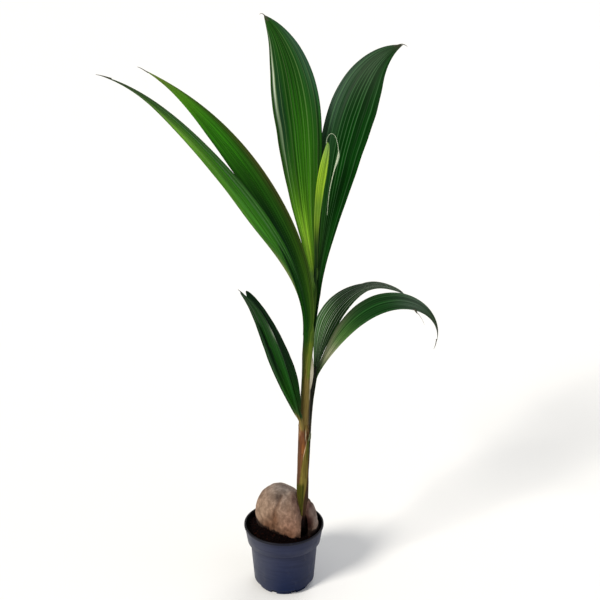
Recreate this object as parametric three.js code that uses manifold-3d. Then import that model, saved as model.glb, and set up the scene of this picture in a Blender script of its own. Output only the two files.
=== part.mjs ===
// Potted coconut palm seedling: a nursery pot, a half-buried husk, a stem of wrapped leaf
// sheaths and four young leaves, each split into two pleated lobes, round a rolled spear leaf.
// Millimetres and degrees, +Z up, the front towards -Y, the origin under the middle of the pot.
import * as THREE from 'three';
import { mergeVertices } from 'three/addons/utils/BufferGeometryUtils.js';
import Module from 'manifold-3d';

const wasm = await Module();
wasm.setup();

// Clearance that neighbours keep where they touch
const GAP = 0.35;
// How near two corners of a geometry lie to count as one
const SAME_CORNER = 1e-4;

// Pot: a 19 cm tapered nursery pot with a collar and an inset foot
const POT = {
  rim: 94,
  height: 158,
  wall: 2.5,
  floor: 4,
  foot: 62.5,
  footHeight: 13,
  waistFoot: 71.5,
  waistTop: 79.5,
  collarFoot: 86.5,
  collarHeight: 115,
  lip: 4.5,
  lipHeight: 6,
  lipOverhang: 1.8,
  round: 1.5,
  sides: 36,
};
const DRAIN = { count: 8, width: 12, height: 9, depth: 4 };
const SOIL = { top: 144, relief: 1.8, lumpX: 9, lumpY: 8, rings: 4 };

// Husk: a three-ridged nut that leans left, sunk into the soil, with a lobe on its right
// beyond the cleft that the stem grows out of, and a flank on each side of the stem's foot
const HUSK = {
  centre: new THREE.Vector3(4, 0, 168),
  half: new THREE.Vector3(64, 60, 92),
  lean: -21,
  ridge: 0.045,
  ridgeTurn: 60,
  flat: 119,
  crease: 3,
  creaseAt: -0.15,
  creaseWidth: 0.09,
  lobes: [
    { centre: new THREE.Vector3(53, -4, 140), half: new THREE.Vector3(30, 40, 56) },
    { centre: new THREE.Vector3(60, -22, 170), half: new THREE.Vector3(19, 29, 54) },
    { centre: new THREE.Vector3(20, -26, 190), half: new THREE.Vector3(24, 30, 66) },
  ],
  facets: { around: 28, up: 16 },
};
const CLEFT = {
  centre: new THREE.Vector3(54, -62, 166),
  half: new THREE.Vector3(7, 26, 44),
};
const EGG_FACETS = { around: 16, up: 12 };

// Stem: leaf sheaths rolled into a stalk that leans a little to the right
const STEM = {
  foot: 168,
  top: 605,
  footX: 43,
  topX: 54.5,
  y: -30,
  lean: 1.7,
  radius: 11.4,
  neck: 9.9,
  taperFrom: 430,
  sides: 20,
  steps: 14,
};
const SHEATH = { thick: 1.2, seam: 150, open: 34, columns: 18, rows: 3 };
const SHEATHS = {
  base_sheath: { foot: 196, top: 286, tear: 5, teeth: 3 },
  brown_sheath: { foot: 287, top: 351, tear: 4, teeth: 4 },
  torn_sheath: { foot: 352, top: 418, tear: 12, teeth: 5 },
};

// Leaf stalks: a soft line of points up the middle, with a radius at foot and top
const STALKS = {
  top_leaf_stalk: {
    points: [[57, -24, 605.4], [62.5, -20, 680], [69, -14, 740], [71, -11, 794]],
    radius: [10, 6],
  },
  arching_leaf_stalk: {
    points: [[52.5, -20, 284], [55.5, -19, 350], [60, -17, 440], [70, -9, 541]],
    radius: [5, 4.2],
  },
  lower_leaf_stalk: {
    points: [[47, -38, 384], [43, -43, 420], [38, -49, 458]],
    radius: [6, 5.5],
  },
};
const STALK_FACETS = { sides: 12, steps: 6 };
const SIDE_SHEATH = {
  foot: 605.4,
  top: 690,
  inner: 7,
  outer: 11.5,
  flare: 2,
  from: -215,
  to: -10,
  narrow: 30,
  columns: 12,
  rows: 4,
};
const CROWN = { lean: 0.08, back: 0.03 };

// Lobes: turn is the heading in the front view, from +X towards +Z, and away is its lean
// towards +Y. Rise and fall shape the width on each side of its widest place, and spine is
// the share of the width on the right of the midline, seen from the upper side with the tip
// up. Tail is the least share kept before the tip. Face is where the upper side looks, at
// the foot and at the tip. Root is where a lobe that runs on down the stem ends, and its
// width there.
const LOBES = {
  top_leaf_left: {
    base: [72.4, -8, 787], length: 563, turn: [96.2, 144.2], bend: 3.7, sway: -7, away: [0.1, 0.22],
    width: 103, foot: 0.21, widest: 0.625, rise: 1.31, fall: 0.83, spine: 0.27,
    face: [[0.45, -1, 0.1], [0.2, -1, 0.15]], pleats: 5,
  },
  top_leaf_right: {
    base: [72, -14, 734], length: 609, turn: [85.1, 0.9], bend: 4, sway: 1.1, away: [0.15, 0.35],
    width: 104, foot: 0.14, widest: 0.66, rise: 1.72, fall: 0.98, spine: 0.77,
    face: [[-0.45, -1, 0.2], [-0.2, -1, 0.5]], pleats: 5,
    root: { at: [65, -24, 655], width: 7 },
  },
  side_leaf_near: {
    base: [54, -45, 648], length: 748, turn: [87.9, 163.7], bend: 4, sway: 33.1, away: [-0.12, -0.25],
    width: 90, foot: 0.16, widest: 0.415, rise: 3.1, fall: 0.88, spine: 0.95,
    face: [[0.65, 0.55, 0.5], [0.4, 0.5, 0.8]], pleats: 4, splitAt: 0.5,
  },
  side_leaf_far: {
    base: [62, -40, 655], length: 707, turn: [57.3, 156.2], bend: 0.4, sway: -9.6, away: [0.05, 0.1],
    width: 63, foot: 0.345, widest: 0.53, rise: 0.84, fall: 1.2, spine: 0.05,
    face: [[0.5, -0.8, 0.35], [0.4, -0.7, 0.6]], pleats: 4, splitAt: 0.5,
  },
  arching_leaf_back: {
    base: [71, -6, 537], length: 369, turn: [78.1, -62.4], bend: 1.1, sway: 28.4, away: [0.25, 0.6],
    width: 58, foot: 0.18, widest: 0.37, rise: 2.1, fall: 3.1, spine: 0.28, tail: 0.28,
    face: [[-0.6, -0.75, 0.2], [0.1, -0.35, 0.9]], pleats: 4, splitAt: 0.48,
  },
  arching_leaf_front: {
    base: [75, -12, 536], length: 415, turn: [75, -107.1], bend: 0.74, sway: 60, away: [-0.1, 0.2],
    width: 45.5, foot: 0.165, widest: 0.49, rise: 1.47, fall: 1.75, spine: 0.15,
    face: [[-0.55, -0.75, 0.4], [0.5, -0.6, 0.6]], pleats: 4, splitAt: 0.52,
  },
  lower_leaf_near: {
    base: [39, -53, 452], length: 366, turn: [101, 139], bend: 4, sway: 2.9, away: [-0.2, -0.25],
    width: 66, foot: 0.205, widest: 0.42, rise: 0.74, fall: 0.57, spine: 0.95,
    face: [[0.7, 0.5, 0.4], [0.5, 0.5, 0.6]], pleats: 4,
  },
  lower_leaf_far: {
    base: [33, -46, 471], length: 314, turn: [103.8, 116.6], bend: 0.4, sway: -3.9, away: [-0.08, -0.1],
    width: 50.5, foot: 0.3, widest: 0.34, rise: 0.95, fall: 0.55, spine: 0.63,
    face: [[0.5, -0.8, 0.3], [0.5, -0.7, 0.5]], pleats: 4,
  },
  spear_leaf: {
    base: [69, -14, 795], length: 277, turn: [89.7, 69.7], bend: 1.3, sway: 5.7, away: [-0.02, 0],
    width: 18, foot: 0.42, widest: 0.725, rise: 2.75, fall: 0.5, spine: 0.95,
    face: [[0, -1, 0.1], [0, -1, 0.1]], pleats: 1, thick: 9,
  },
};
const BLADE = {
  thick: 0.0105,
  thinnedAtTip: 0.45,
  thinnedAtEdge: 0.5,
  thinningDelay: 6,
  pleat: 0.022,
  inset: 0.2,
  narrowest: 1.5,
  rowEvery: 36,
  fewestRows: 8,
  rootRows: 4,
  crowding: 1.35,
  midlineSteps: 60,
};

const COLOURS = {
  pot: '#56606c',
  soil: '#2b221c',
  husk: '#9a8474',
  stem: '#76804d',
  brown: '#8d6f5c',
  leaf: '#5f7f52',
  young: '#a9bd6a',
};

const degrees = THREE.MathUtils.degToRad;
const blend = THREE.MathUtils.lerp;
const clamp = THREE.MathUtils.clamp;

// Shape helpers

// Moves every vertex of a geometry to where place(x, y, z) says.
function reshaped(geometry, place) {
  const spots = geometry.attributes.position;
  for (let i = 0; i < spots.count; i += 1) {
    const spot = place(spots.getX(i), spots.getY(i), spots.getZ(i));
    spots.setXYZ(i, spot.x, spot.y, spot.z);
  }
  return geometry;
}

// A geometry as a manifold solid with its faces pointing out.
function solidOf(geometry) {
  const bare = geometry.clone();
  bare.deleteAttribute('normal');
  bare.deleteAttribute('uv');
  const merged = mergeVertices(bare, SAME_CORNER);
  const triVerts = Uint32Array.from(merged.index.array);
  const vertProperties = merged.attributes.position.array;
  const made = new wasm.Manifold(new wasm.Mesh({ numProp: 3, vertProperties, triVerts }));
  if (made.volume() > 0) return made;
  for (let i = 0; i < triVerts.length; i += 3) {
    [triVerts[i + 1], triVerts[i + 2]] = [triVerts[i + 2], triVerts[i + 1]];
  }
  return new wasm.Manifold(new wasm.Mesh({ numProp: 3, vertProperties, triVerts }));
}

// What is left of a solid after the cutters, without loose scraps.
function cleared(solid, cutters) {
  const cut = cutters.reduce((rest, cutter) => rest.subtract(cutter), solid);
  const pieces = cut.decompose();
  pieces.sort((a, b) => b.volume() - a.volume());
  return pieces[0];
}

function meshOf(name, solid, colour, roughness) {
  const mesh = solid.getMesh();
  const geometry = new THREE.BufferGeometry();
  geometry.setAttribute('position', new THREE.BufferAttribute(mesh.vertProperties, 3));
  geometry.setIndex(new THREE.BufferAttribute(mesh.triVerts, 1));
  geometry.computeVertexNormals();
  const material = new THREE.MeshStandardMaterial({ color: colour, roughness, metalness: 0 });
  const made = new THREE.Mesh(geometry, material);
  made.name = name;
  return made;
}

// A closed outline of [radius, height] pairs turned round the Z axis.
function turned(outline, sides) {
  const points = outline.map(([radius, height]) => new THREE.Vector2(radius, height));
  return new THREE.LatheGeometry(points, sides).rotateX(Math.PI / 2);
}

// A round limb: centre(v) and radius(v) run from foot, v = 0, to top, v = 1.
function limb(centre, radius, sides, steps) {
  const rod = new THREE.CylinderGeometry(1, 1, 1, sides, steps);
  return reshaped(rod, (x, y, z) => {
    const v = y + 0.5;
    const middle = centre(v);
    return new THREE.Vector3(middle.x + x * radius(v), middle.y + z * radius(v), middle.z);
  });
}

// A curved shell round a limb: angle a and height v go from 0 to 1, and skin is 0 or 1.
function wrap(angleSteps, heightSteps, place) {
  const slab = new THREE.BoxGeometry(1, 1, 1, angleSteps, heightSteps, 1);
  return reshaped(slab, (x, y, z) => place(x + 0.5, y + 0.5, z + 0.5));
}

function around(middle, angle, radius, height) {
  const turn = degrees(angle);
  return new THREE.Vector3(
    middle.x + radius * Math.cos(turn),
    middle.y + radius * Math.sin(turn),
    height,
  );
}

// Pot and soil

// The inside wall of the pot, from its floor up, as [radius, height] pairs.
function potInside() {
  const thick = POT.wall;
  return [
    [POT.foot - thick, POT.floor],
    [POT.foot - thick, POT.footHeight + thick],
    [POT.waistFoot - thick, POT.footHeight + 2 * thick],
    [POT.waistTop - thick, POT.collarHeight - thick],
    [POT.collarFoot - thick, POT.collarHeight + thick],
    [POT.rim - POT.lip, POT.height - POT.round],
  ];
}

function potSolid() {
  const collarTop = POT.rim - POT.lipOverhang;
  const outside = [
    [0, 0],
    [POT.foot - POT.round, 0],
    [POT.foot, POT.round],
    [POT.foot, POT.footHeight],
    [POT.waistFoot, POT.footHeight + 1],
    [POT.waistTop, POT.collarHeight - 1],
    [POT.collarFoot, POT.collarHeight],
    [collarTop, POT.height - POT.lipHeight],
    [POT.rim, POT.height - POT.lipHeight + 1],
    [POT.rim, POT.height - POT.round],
    [POT.rim - POT.round, POT.height],
    [POT.rim - POT.lip + POT.round, POT.height],
  ];
  const outline = [...outside, ...potInside().reverse(), [0, POT.floor]];
  const notches = [];
  for (let i = 0; i < DRAIN.count; i += 1) {
    const notch = new THREE.BoxGeometry(2 * DRAIN.depth, DRAIN.width, 2 * DRAIN.height);
    notch.translate(POT.foot, 0, 0);
    notch.rotateZ((2 * Math.PI * (i + 0.5)) / DRAIN.count);
    notches.push(solidOf(notch));
  }
  return cleared(solidOf(turned(outline, POT.sides)), notches);
}

function soilSolid(huskCutter) {
  const wallPoints = potInside();
  const [low, high] = wallPoints.slice(-2);
  const share = (SOIL.top - low[1]) / (high[1] - low[1]);
  const rimPoint = [blend(low[0], high[0], share), SOIL.top - GAP];
  const side = [...wallPoints.slice(0, -1), rimPoint].map(([r, z]) => [r - GAP, z + GAP]);
  const edge = side[side.length - 1][0];
  const top = [];
  for (let i = SOIL.rings - 1; i > 0; i -= 1) {
    top.push([(edge * i) / SOIL.rings, SOIL.top]);
  }
  const plain = turned([[0, POT.floor + GAP], ...side, ...top, [0, SOIL.top]], POT.sides);
  const rough = reshaped(plain, (x, y, z) => {
    const inner = z > SOIL.top - 1 && Math.hypot(x, y) < edge - 1;
    const lump = inner ? SOIL.relief * Math.sin(x / SOIL.lumpX + 1) * Math.cos(y / SOIL.lumpY) : 0;
    return new THREE.Vector3(x, y, z + lump);
  });
  return cleared(solidOf(rough), [huskCutter]);
}

// Husk

function egg(centre, half, grow) {
  const ball = new THREE.SphereGeometry(1, EGG_FACETS.around, EGG_FACETS.up).rotateX(Math.PI / 2);
  return solidOf(reshaped(ball, (x, y, z) => {
    const grown = half.clone().addScalar(grow);
    const spot = new THREE.Vector3(x, y, z).multiply(grown).add(centre);
    spot.z = Math.max(spot.z, HUSK.flat - grow);
    return spot;
  }));
}

// The husk without its cleft, with all of its lobes.
function huskSolid(grow) {
  const ball = new THREE.SphereGeometry(1, HUSK.facets.around, HUSK.facets.up).rotateX(Math.PI / 2);
  const lean = degrees(HUSK.lean);
  const nut = solidOf(reshaped(ball, (x, y, z) => {
    const angle = Math.atan2(y, x);
    const ridges = 1 + HUSK.ridge * Math.cos(3 * (angle - degrees(HUSK.ridgeTurn)));
    const offCrease = (x - HUSK.creaseAt) / HUSK.creaseWidth;
    const crease = HUSK.crease * Math.exp(-(offCrease ** 2)) * Math.max(0, -y);
    const spot = new THREE.Vector3(
      x * (HUSK.half.x + grow) * ridges,
      y * (HUSK.half.y + grow - crease) * ridges,
      z * (HUSK.half.z + grow),
    );
    spot.applyAxisAngle(new THREE.Vector3(0, 1, 0), lean).add(HUSK.centre);
    spot.z = Math.max(spot.z, HUSK.flat - grow);
    return spot;
  }));
  return HUSK.lobes.reduce((whole, lobe) => whole.add(egg(lobe.centre, lobe.half, grow)), nut);
}

// Stem and its sheaths

function stemCentre(height) {
  const share = Math.max(0, (height - STEM.foot) / (STEM.top - STEM.foot));
  return new THREE.Vector3(blend(STEM.footX, STEM.topX, share ** STEM.lean), STEM.y, height);
}

// The middle of the crown goes on above the stem, leaning right and a little back.
function crownCentre(height) {
  const above = height - STEM.top;
  return new THREE.Vector3(STEM.topX + CROWN.lean * above, STEM.y + CROWN.back * above, height);
}

function stemRadius(height) {
  const share = THREE.MathUtils.smoothstep(height, STEM.taperFrom, STEM.top);
  return blend(STEM.radius, STEM.neck, share);
}

function stemSolid(grow) {
  const foot = STEM.foot - grow;
  const top = STEM.top + grow;
  return solidOf(limb(
    (v) => stemCentre(blend(foot, top, v)),
    (v) => stemRadius(blend(foot, top, v)) + grow,
    STEM.sides,
    STEM.steps,
  ));
}

// A strip of old sheath round the stem, open along a seam, with a torn upper edge.
function sheathSolid({ foot, top, tear, teeth }) {
  const from = SHEATH.seam + SHEATH.open / 2;
  const to = SHEATH.seam + 360 - SHEATH.open / 2;
  return solidOf(wrap(SHEATH.columns, SHEATH.rows, (a, v, skin) => {
    const ragged = tear * (0.5 + 0.5 * Math.sin(2 * Math.PI * teeth * a + foot));
    const height = blend(foot, top - ragged, v);
    const radius = stemRadius(height) + GAP + skin * SHEATH.thick;
    return around(stemCentre(height), blend(from, to, a), radius, height);
  }));
}

// The stem with every sheath on it, as one limb to cut neighbours with.
function sleeveSolid(grow) {
  const highest = SHEATHS.torn_sheath.top;
  const dressed = limb(
    (v) => stemCentre(blend(STEM.foot, highest, v)),
    () => STEM.radius + GAP + SHEATH.thick + grow,
    STEM.sides,
    STEM.steps,
  );
  return solidOf(dressed).add(stemSolid(grow));
}

// Leaf stalks

function stalkSolid({ points, radius }, grow) {
  const line = new THREE.CatmullRomCurve3(points.map((point) => new THREE.Vector3(...point)));
  return solidOf(limb(
    (v) => line.getPoint(v).add(new THREE.Vector3(0, 0, v < 0.5 ? -grow : grow)),
    (v) => blend(radius[0], radius[1], v) + grow,
    STALK_FACETS.sides,
    STALK_FACETS.steps,
  ));
}

// The folded foot of the side leaf, wrapped round the front of the crown.
function sideSheathSolid(grow) {
  const foot = SIDE_SHEATH.foot - grow;
  const top = SIDE_SHEATH.top + grow;
  return solidOf(wrap(SIDE_SHEATH.columns, SIDE_SHEATH.rows, (a, v, skin) => {
    const height = blend(foot, top, v);
    const inner = SIDE_SHEATH.inner - grow;
    const outer = SIDE_SHEATH.outer + SIDE_SHEATH.flare * v + grow;
    const turn = SIDE_SHEATH.narrow * v;
    const angle = blend(SIDE_SHEATH.from + turn, SIDE_SHEATH.to - turn, a);
    return around(crownCentre(height), angle, blend(inner, outer, skin), height);
  }));
}

// Leaf lobes

function heading(lobe, t) {
  const turn = blend(lobe.turn[0], lobe.turn[1], t ** lobe.bend) + lobe.sway * Math.sin(Math.PI * t);
  const away = blend(lobe.away[0], lobe.away[1], t);
  const angle = degrees(turn);
  return new THREE.Vector3(Math.cos(angle), away, Math.sin(angle)).normalize();
}

// The width of a lobe at t as a share of its greatest width.
function widthShare(lobe, t) {
  if (t < lobe.widest) {
    const up = Math.sin((Math.PI / 2) * clamp(t / lobe.widest, 0, 1));
    return lobe.foot + (1 - lobe.foot) * up ** lobe.rise;
  }
  const down = Math.cos((Math.PI / 2) * clamp((t - lobe.widest) / (1 - lobe.widest), 0, 1));
  const least = (lobe.tail ?? 0) * Math.sqrt(Math.max(down, 0));
  return Math.max(Math.max(down, 0) ** lobe.fall, least);
}

// The point on a lobe's midline at t, found by adding up short steps along its heading.
function midline(lobe, t) {
  const steps = BLADE.midlineSteps;
  const spot = new THREE.Vector3(...lobe.base);
  for (let i = 0; i < steps; i += 1) {
    spot.addScaledVector(heading(lobe, (t * (i + 0.5)) / steps), (lobe.length * t) / steps);
  }
  return spot;
}

// A cross-section of a lobe: its middle, the way along, across and out of it, and its width.
function crossSection(lobe, t) {
  const along = heading(lobe, t);
  const foot = new THREE.Vector3(...lobe.face[0]);
  const face = foot.lerp(new THREE.Vector3(...lobe.face[1]), t).normalize();
  const side = new THREE.Vector3().crossVectors(along, face).normalize();
  const normal = new THREE.Vector3().crossVectors(side, along);
  return { t, centre: midline(lobe, t), along, side, normal, width: lobe.width * widthShare(lobe, t) };
}

// The cross-sections of a lobe's root, from its lower end up to the foot of the blade.
function rootSections(lobe) {
  if (!lobe.root) return [];
  const foot = crossSection(lobe, 0);
  const lowest = new THREE.Vector3(...lobe.root.at);
  return Array.from({ length: BLADE.rootRows }, (_, row) => {
    const up = row / BLADE.rootRows;
    const centre = lowest.clone().lerp(foot.centre, up);
    return { ...foot, centre, width: blend(lobe.root.width, foot.width, up) };
  });
}

// A pleated blade, thickest along its middle, from t = from to t = to.
function bladeSolid(lobe, from, to, grow) {
  const length = lobe.length * (to - from);
  const rows = Math.max(BLADE.fewestRows, Math.round(length / BLADE.rowEvery));
  const columns = 2 * lobe.pleats;
  const thickest = lobe.thick ?? BLADE.thick * length;
  const sections = from > 0 ? [] : rootSections(lobe);
  for (let row = 0; row <= rows; row += 1) {
    const nearTip = 1 - (1 - row / rows) ** BLADE.crowding;
    sections.push(crossSection(lobe, blend(from, to, nearTip)));
  }
  const spans = sections.length - 1;
  const slab = new THREE.BoxGeometry(1, 1, 1, columns, spans, 1);
  return solidOf(reshaped(slab, (x, y, z) => {
    const section = sections[Math.round((y + 0.5) * spans)];
    const across = x + 0.5;
    const inset = 2 * BLADE.inset * thickest;
    const width = Math.max(section.width - inset, BLADE.narrowest) + 2 * grow;
    const column = Math.round(across * columns);
    const pleat = BLADE.pleat * section.width * (column % 2 ? 1 : -1);
    const crown = 1 - BLADE.thinnedAtEdge * (2 * x) ** 2;
    const thick = thickest * crown * (1 - BLADE.thinnedAtTip * section.t ** BLADE.thinningDelay);
    const end = y === -0.5 ? -grow : Number(y === 0.5) * grow;
    return section.centre.clone()
      .addScaledVector(section.side, blend(lobe.spine, lobe.spine - 1, across) * width)
      .addScaledVector(section.normal, pleat + z * (thick + 2 * grow))
      .addScaledVector(section.along, end);
  }));
}

// The stretches that a lobe is built in: one, or two that meet at its bend.
function stretches(name, lobe) {
  if (!lobe.splitAt) return [{ name, from: 0, to: 1 }];
  const slit = GAP / lobe.length;
  return [
    { name: `${name}_lower`, from: 0, to: lobe.splitAt - slit / 2 },
    { name: `${name}_upper`, from: lobe.splitAt + slit / 2, to: 1 },
  ];
}

// The plant, from the ground up
const plant = new THREE.Group();

function addPart(name, solid, colour, roughness) {
  plant.add(meshOf(name, solid, colour, roughness));
}

addPart('pot', potSolid(), COLOURS.pot, 0.6);
addPart('soil', soilSolid(huskSolid(GAP)), COLOURS.soil, 1);
const sleeve = sleeveSolid(GAP);
const cleft = egg(CLEFT.centre, CLEFT.half, 0);
addPart('husk', cleared(huskSolid(0), [sleeve, cleft]), COLOURS.husk, 0.95);
addPart('stem', stemSolid(0), COLOURS.stem, 0.7);
for (const [name, sheath] of Object.entries(SHEATHS)) {
  addPart(name, sheathSolid(sheath), COLOURS.brown, 0.85);
}

const stalkCutters = [sleeve];
for (const [name, stalk] of Object.entries(STALKS)) {
  addPart(name, cleared(stalkSolid(stalk, 0), [sleeve]), COLOURS.stem, 0.6);
  stalkCutters.push(stalkSolid(stalk, GAP));
}
const sideSheath = cleared(sideSheathSolid(0), stalkCutters);
addPart('side_leaf_stalk', sideSheath, COLOURS.leaf, 0.5);
stalkCutters.push(sideSheathSolid(GAP));

const laid = [];
for (const [name, lobe] of Object.entries(LOBES)) {
  for (const stretch of stretches(name, lobe)) {
    const whole = bladeSolid(lobe, stretch.from, stretch.to, 0);
    const solid = cleared(whole, [...stalkCutters, ...laid]);
    const colour = name === 'spear_leaf' ? COLOURS.young : COLOURS.leaf;
    addPart(stretch.name, solid, colour, 0.5);
  }
  laid.push(...stretches(name, lobe).map(({ from, to }) => bladeSolid(lobe, from, to, GAP)));
}

export default plant;
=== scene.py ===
# Potted coconut palm seedling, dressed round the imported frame: pleated blades, ribbed sheaths,
# a weathered husk, loose potting mix and a moulded nursery pot.
# Lengths are millimetres and angles degrees. They become metres where a mesh is made.
import math
import random
from types import SimpleNamespace as Values

import bpy
import numpy as np
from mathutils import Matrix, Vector, noise


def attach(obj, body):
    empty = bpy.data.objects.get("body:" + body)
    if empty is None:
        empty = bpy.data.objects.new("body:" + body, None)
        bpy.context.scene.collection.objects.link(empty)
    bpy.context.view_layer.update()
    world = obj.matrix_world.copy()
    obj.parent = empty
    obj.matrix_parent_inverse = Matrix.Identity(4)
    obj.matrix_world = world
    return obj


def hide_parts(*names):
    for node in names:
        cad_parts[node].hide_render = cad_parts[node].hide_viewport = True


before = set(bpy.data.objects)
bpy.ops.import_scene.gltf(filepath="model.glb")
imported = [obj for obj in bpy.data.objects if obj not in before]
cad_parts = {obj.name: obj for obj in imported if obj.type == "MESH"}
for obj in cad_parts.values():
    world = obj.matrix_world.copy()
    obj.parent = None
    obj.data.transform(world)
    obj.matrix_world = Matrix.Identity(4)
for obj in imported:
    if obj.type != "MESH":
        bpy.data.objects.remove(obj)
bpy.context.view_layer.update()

MM = 0.001
BODY = "root"

# The photograph's camera: its place in metres, its tilt down and its lens
CAMERA = Values(place=(0.038, -2.2, 1.511), down=19.85, lens=64.1, sensor=36, far=200)

# Suns: the side that each shines from, its strength, its angle across and its colour
SUNS = dict(
    key=Values(side=(-0.85, -0.8, 0.95), strength=2.9, across=16, colour="#fffaf2"),
    fill=Values(side=(1.0, -0.6, 0.7), strength=0.3, across=60, colour="#c9d4ff"),
    back=Values(side=(0.5, 1.0, 0.9), strength=0.8, across=45, colour="#ffffff"),
)
SKY = 0.44
FLOOR = Values(half=60000, tone="#f1f1ef", roughness=0.9, specular=0.1)

# The pot: radii of foot, waist, collar and rim, each wider than the one below, and their heights
POT = Values(
    rim=94, height=158, wall=2.5, floor=4, foot=62.5, foot_height=13,
    waist_foot=71.5, waist_top=79.5, collar_foot=86.5, collar_height=115,
    lip=4.5, lip_height=6, overhang=1.8, round=1.5, arc=5, sides=288,
)
# Drain notches in the outer edge of the foot
DRAIN = Values(count=8, width=12, height=9, depth=4, edge=3)
# The potting mix: its top with lumps of a height and two widths, its gap to the wall, and grit
SOIL = Values(
    top=144, relief=1.8, lump_x=9, lump_y=8, gap=0.35, rings=64, sides=220,
    grit=1.1, grit_scale=(0.35, 0.35, 0.35), grit_seed=5.0,
)
# The mix is heaped against the husk: the husk's oval at the surface, and the heap's height,
# reach, least share and the side where it is highest
HEAP = Values(centre=(8, 0), half=(64, 60), height=24, reach=13, least=0.25, side=205, spread=55)
# Loose grains: their size from small to large, most of them small by skew, their stretch along
# each axis and how far a corner strays. The last ones are fibres. Picks are the shares of the
# three tones, and margin keeps the grains off the pot's wall.
CRUMBS = Values(
    count=4200, small=0.8, large=3.2, skew=2.5, half=0.6, stray=0.45, raised=0.3, picks=(7, 3, 1),
    stretch=((0.6, 1.3), (0.6, 1.3), (0.4, 0.8)), margin=3.5, spare=2,
    fibres=240, fibre_length=10, fibre_shares=(0.4, 1.0), fibre_stretch=(0.5, 0.5, 0.8),
)

# The nut in its husk: an oval with blunt ridges down it, and lobes by middle and half-size.
# Flat is the height of its underside. One skin of voxels goes over them and is smoothed.
HUSK = Values(
    centre=(4, 0, 168), half=(64, 60, 92), lean=-21, ridge=0.045, ridges=3, ridge_turn=60,
    flat=119, voxel=1.45, smoothing=14, rows=60, columns=90,
    lobes=[
        ((53, -4, 140), (30, 40, 56)),
        ((60, -22, 170), (19, 29, 54)),
        ((20, -26, 190), (24, 30, 66)),
        ((17, -25, 160), (32, 36, 56)),
        ((56, -31, 204), (12, 12, 36)),
    ],
)
# The hollow that the stem grows out of. It fades out over edge, in shares of its half-size.
CLEFT = Values(centre=(48, -62, 164), half=(7, 30, 42), depth=17, margin=1.15, edge=(0.55, 1.15))
# Grooves down the front of the husk: a line of points on it, half-width and depth
GROOVES = [
    ([(-4, -30, 247), (-10, -40, 236), (-15, -45, 226), (-20, -48, 217), (-22, -50, 208),
      (-24, -51, 195), (-24, -52, 180), (-22, -54, 160)], 3.6, 3.8),
    ([(4, -33, 248), (16, -38, 246), (27, -38, 240), (36, -37, 230)], 3.6, 1.2),
]
# How far the knobs shift a groove, and the depth at which the painted shade in its crease is
# darkest
CREASE = Values(wander=1.2, full=5)
# Relief of the husk, broad swellings, fibres and knobs: a noise's scale, its seed and its lift
HUSK_RELIEF = [
    ((0.035, 0.035, 0.028), 3.0, 1.6), ((0.3, 0.3, 0.1), 9.0, 0.45), ((0.1, 0.1, 0.08), 17.0, 0.9),
]

# The stem's middle runs from foot to top, its lean grows with height, and above its top the
# crown leans on. Its radius shrinks to neck from taper_from up.
STEM = Values(
    foot=168, top=605, foot_x=43, top_x=54.5, y=-30, lean=1.7,
    radius=11.4, neck=9.9, taper_from=430, rows=260, columns=120, seed=2.0,
)
CROWN = Values(lean=0.08, back=0.03)
# Fine ribs up every limb: how far they wander, over what height, and a second set with its
# height and count as shares of the first
RIBS = Values(wander=6, run=47, second=0.5, ratio=2.3)
LIMB = Values(rows=90, columns=48, ribs=9, depth=0.2)
# What the dead sheaths share: open along a seam, thin at the lip and pressed on to the stem.
# Inside is the factor of the tone on the inner side of any sheath.
SHEATH = Values(
    thick=1.2, lip=0.35, lip_from=0.9, gap=0.35, seam=150, open=34, press=0.25, inside=0.6,
    rows=90, columns=200, ribs=11, depth=0.09,
)
# Dead sheaths: each is torn off obliquely over the foot of the next. Slope is how far its top
# runs down from the side that turn names, and proud how far it stands outside the next.
SHEATHS = dict(
    base_sheath=Values(foot=190, top=304, slope=12, turn=215, ragged=4, proud=0.8),
    brown_sheath=Values(foot=278, top=372, slope=14, turn=20, ragged=5, proud=0.3),
    torn_sheath=Values(foot=344, top=436, slope=14, turn=200, ragged=8, proud=0.0),
)
# Waves of a torn edge: height, width in degrees and share of the seed
TEAR = [(1, 9, 1), (0.6, 3.7, 1), (0.4, 1.6, 0)]
# Leaf stalks: a line of points, evenly spaced radii along it, a colour of its own, and the
# heights between which that colour takes over from the skin of the stem
STALKS = dict(
    top_leaf_stalk=Values(
        points=[(57, -24, 605.4), (62.5, -20, 680), (69, -14, 740), (71, -11, 794)],
        radius=(9.6, 8.4, 6.2, 2.0), plain="#12330c", own_from=715, own_full=775,
    ),
    arching_leaf_stalk=Values(
        points=[(51.8, -21, 276), (55.5, -19, 350), (60, -17, 440), (70, -9, 541), (73, -8, 562)],
        # Its dark plain colour is partly its own and partly painted shade.
        radius=(1.5, 4.9, 5, 4.9, 4.7, 4.4, 3.9, 2.8, 0.9), plain="#20241a",
        own_from=290, own_full=330,
    ),
    lower_leaf_stalk=Values(
        points=[(47, -38, 384), (43.3, -42.6, 420), (39, -48, 456), (36, -50.5, 474)],
        radius=(5.2, 4.8, 4.3, 2.0), plain="#1c4210", own_from=446, own_full=460,
    ),
)
# The folded foot of the side leaf: flush with the stem at its foot, proud from the ledge up
# and flared at full height. Its top runs down to low_top at both edges, which draw in by narrow.
SIDE_SHEATH = Values(
    foot=556, ledge=605, full=690, top=704, low_top=652, fold=1.6, flush=0.3, outer=11.7, flare=2,
    thick=1.0, lip=0.4, lip_from=0.85, start=-215, end=-10, narrow=30, ribs=10, depth=0.16,
    rows=110, columns=120, seed=4.0,
)
# A pale dry strip that stands off the right of the stem below the bent leaf
PAPERY_EDGE = Values(
    foot=508, top=602, angle=322, proud=0.4, least=9.0, reach=15.5, y=-25, swell=0.7, bow=1.2,
    thick=0.5, tone="#ddd8c4", cover=0.9, rows=60, columns=9,
)


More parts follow.
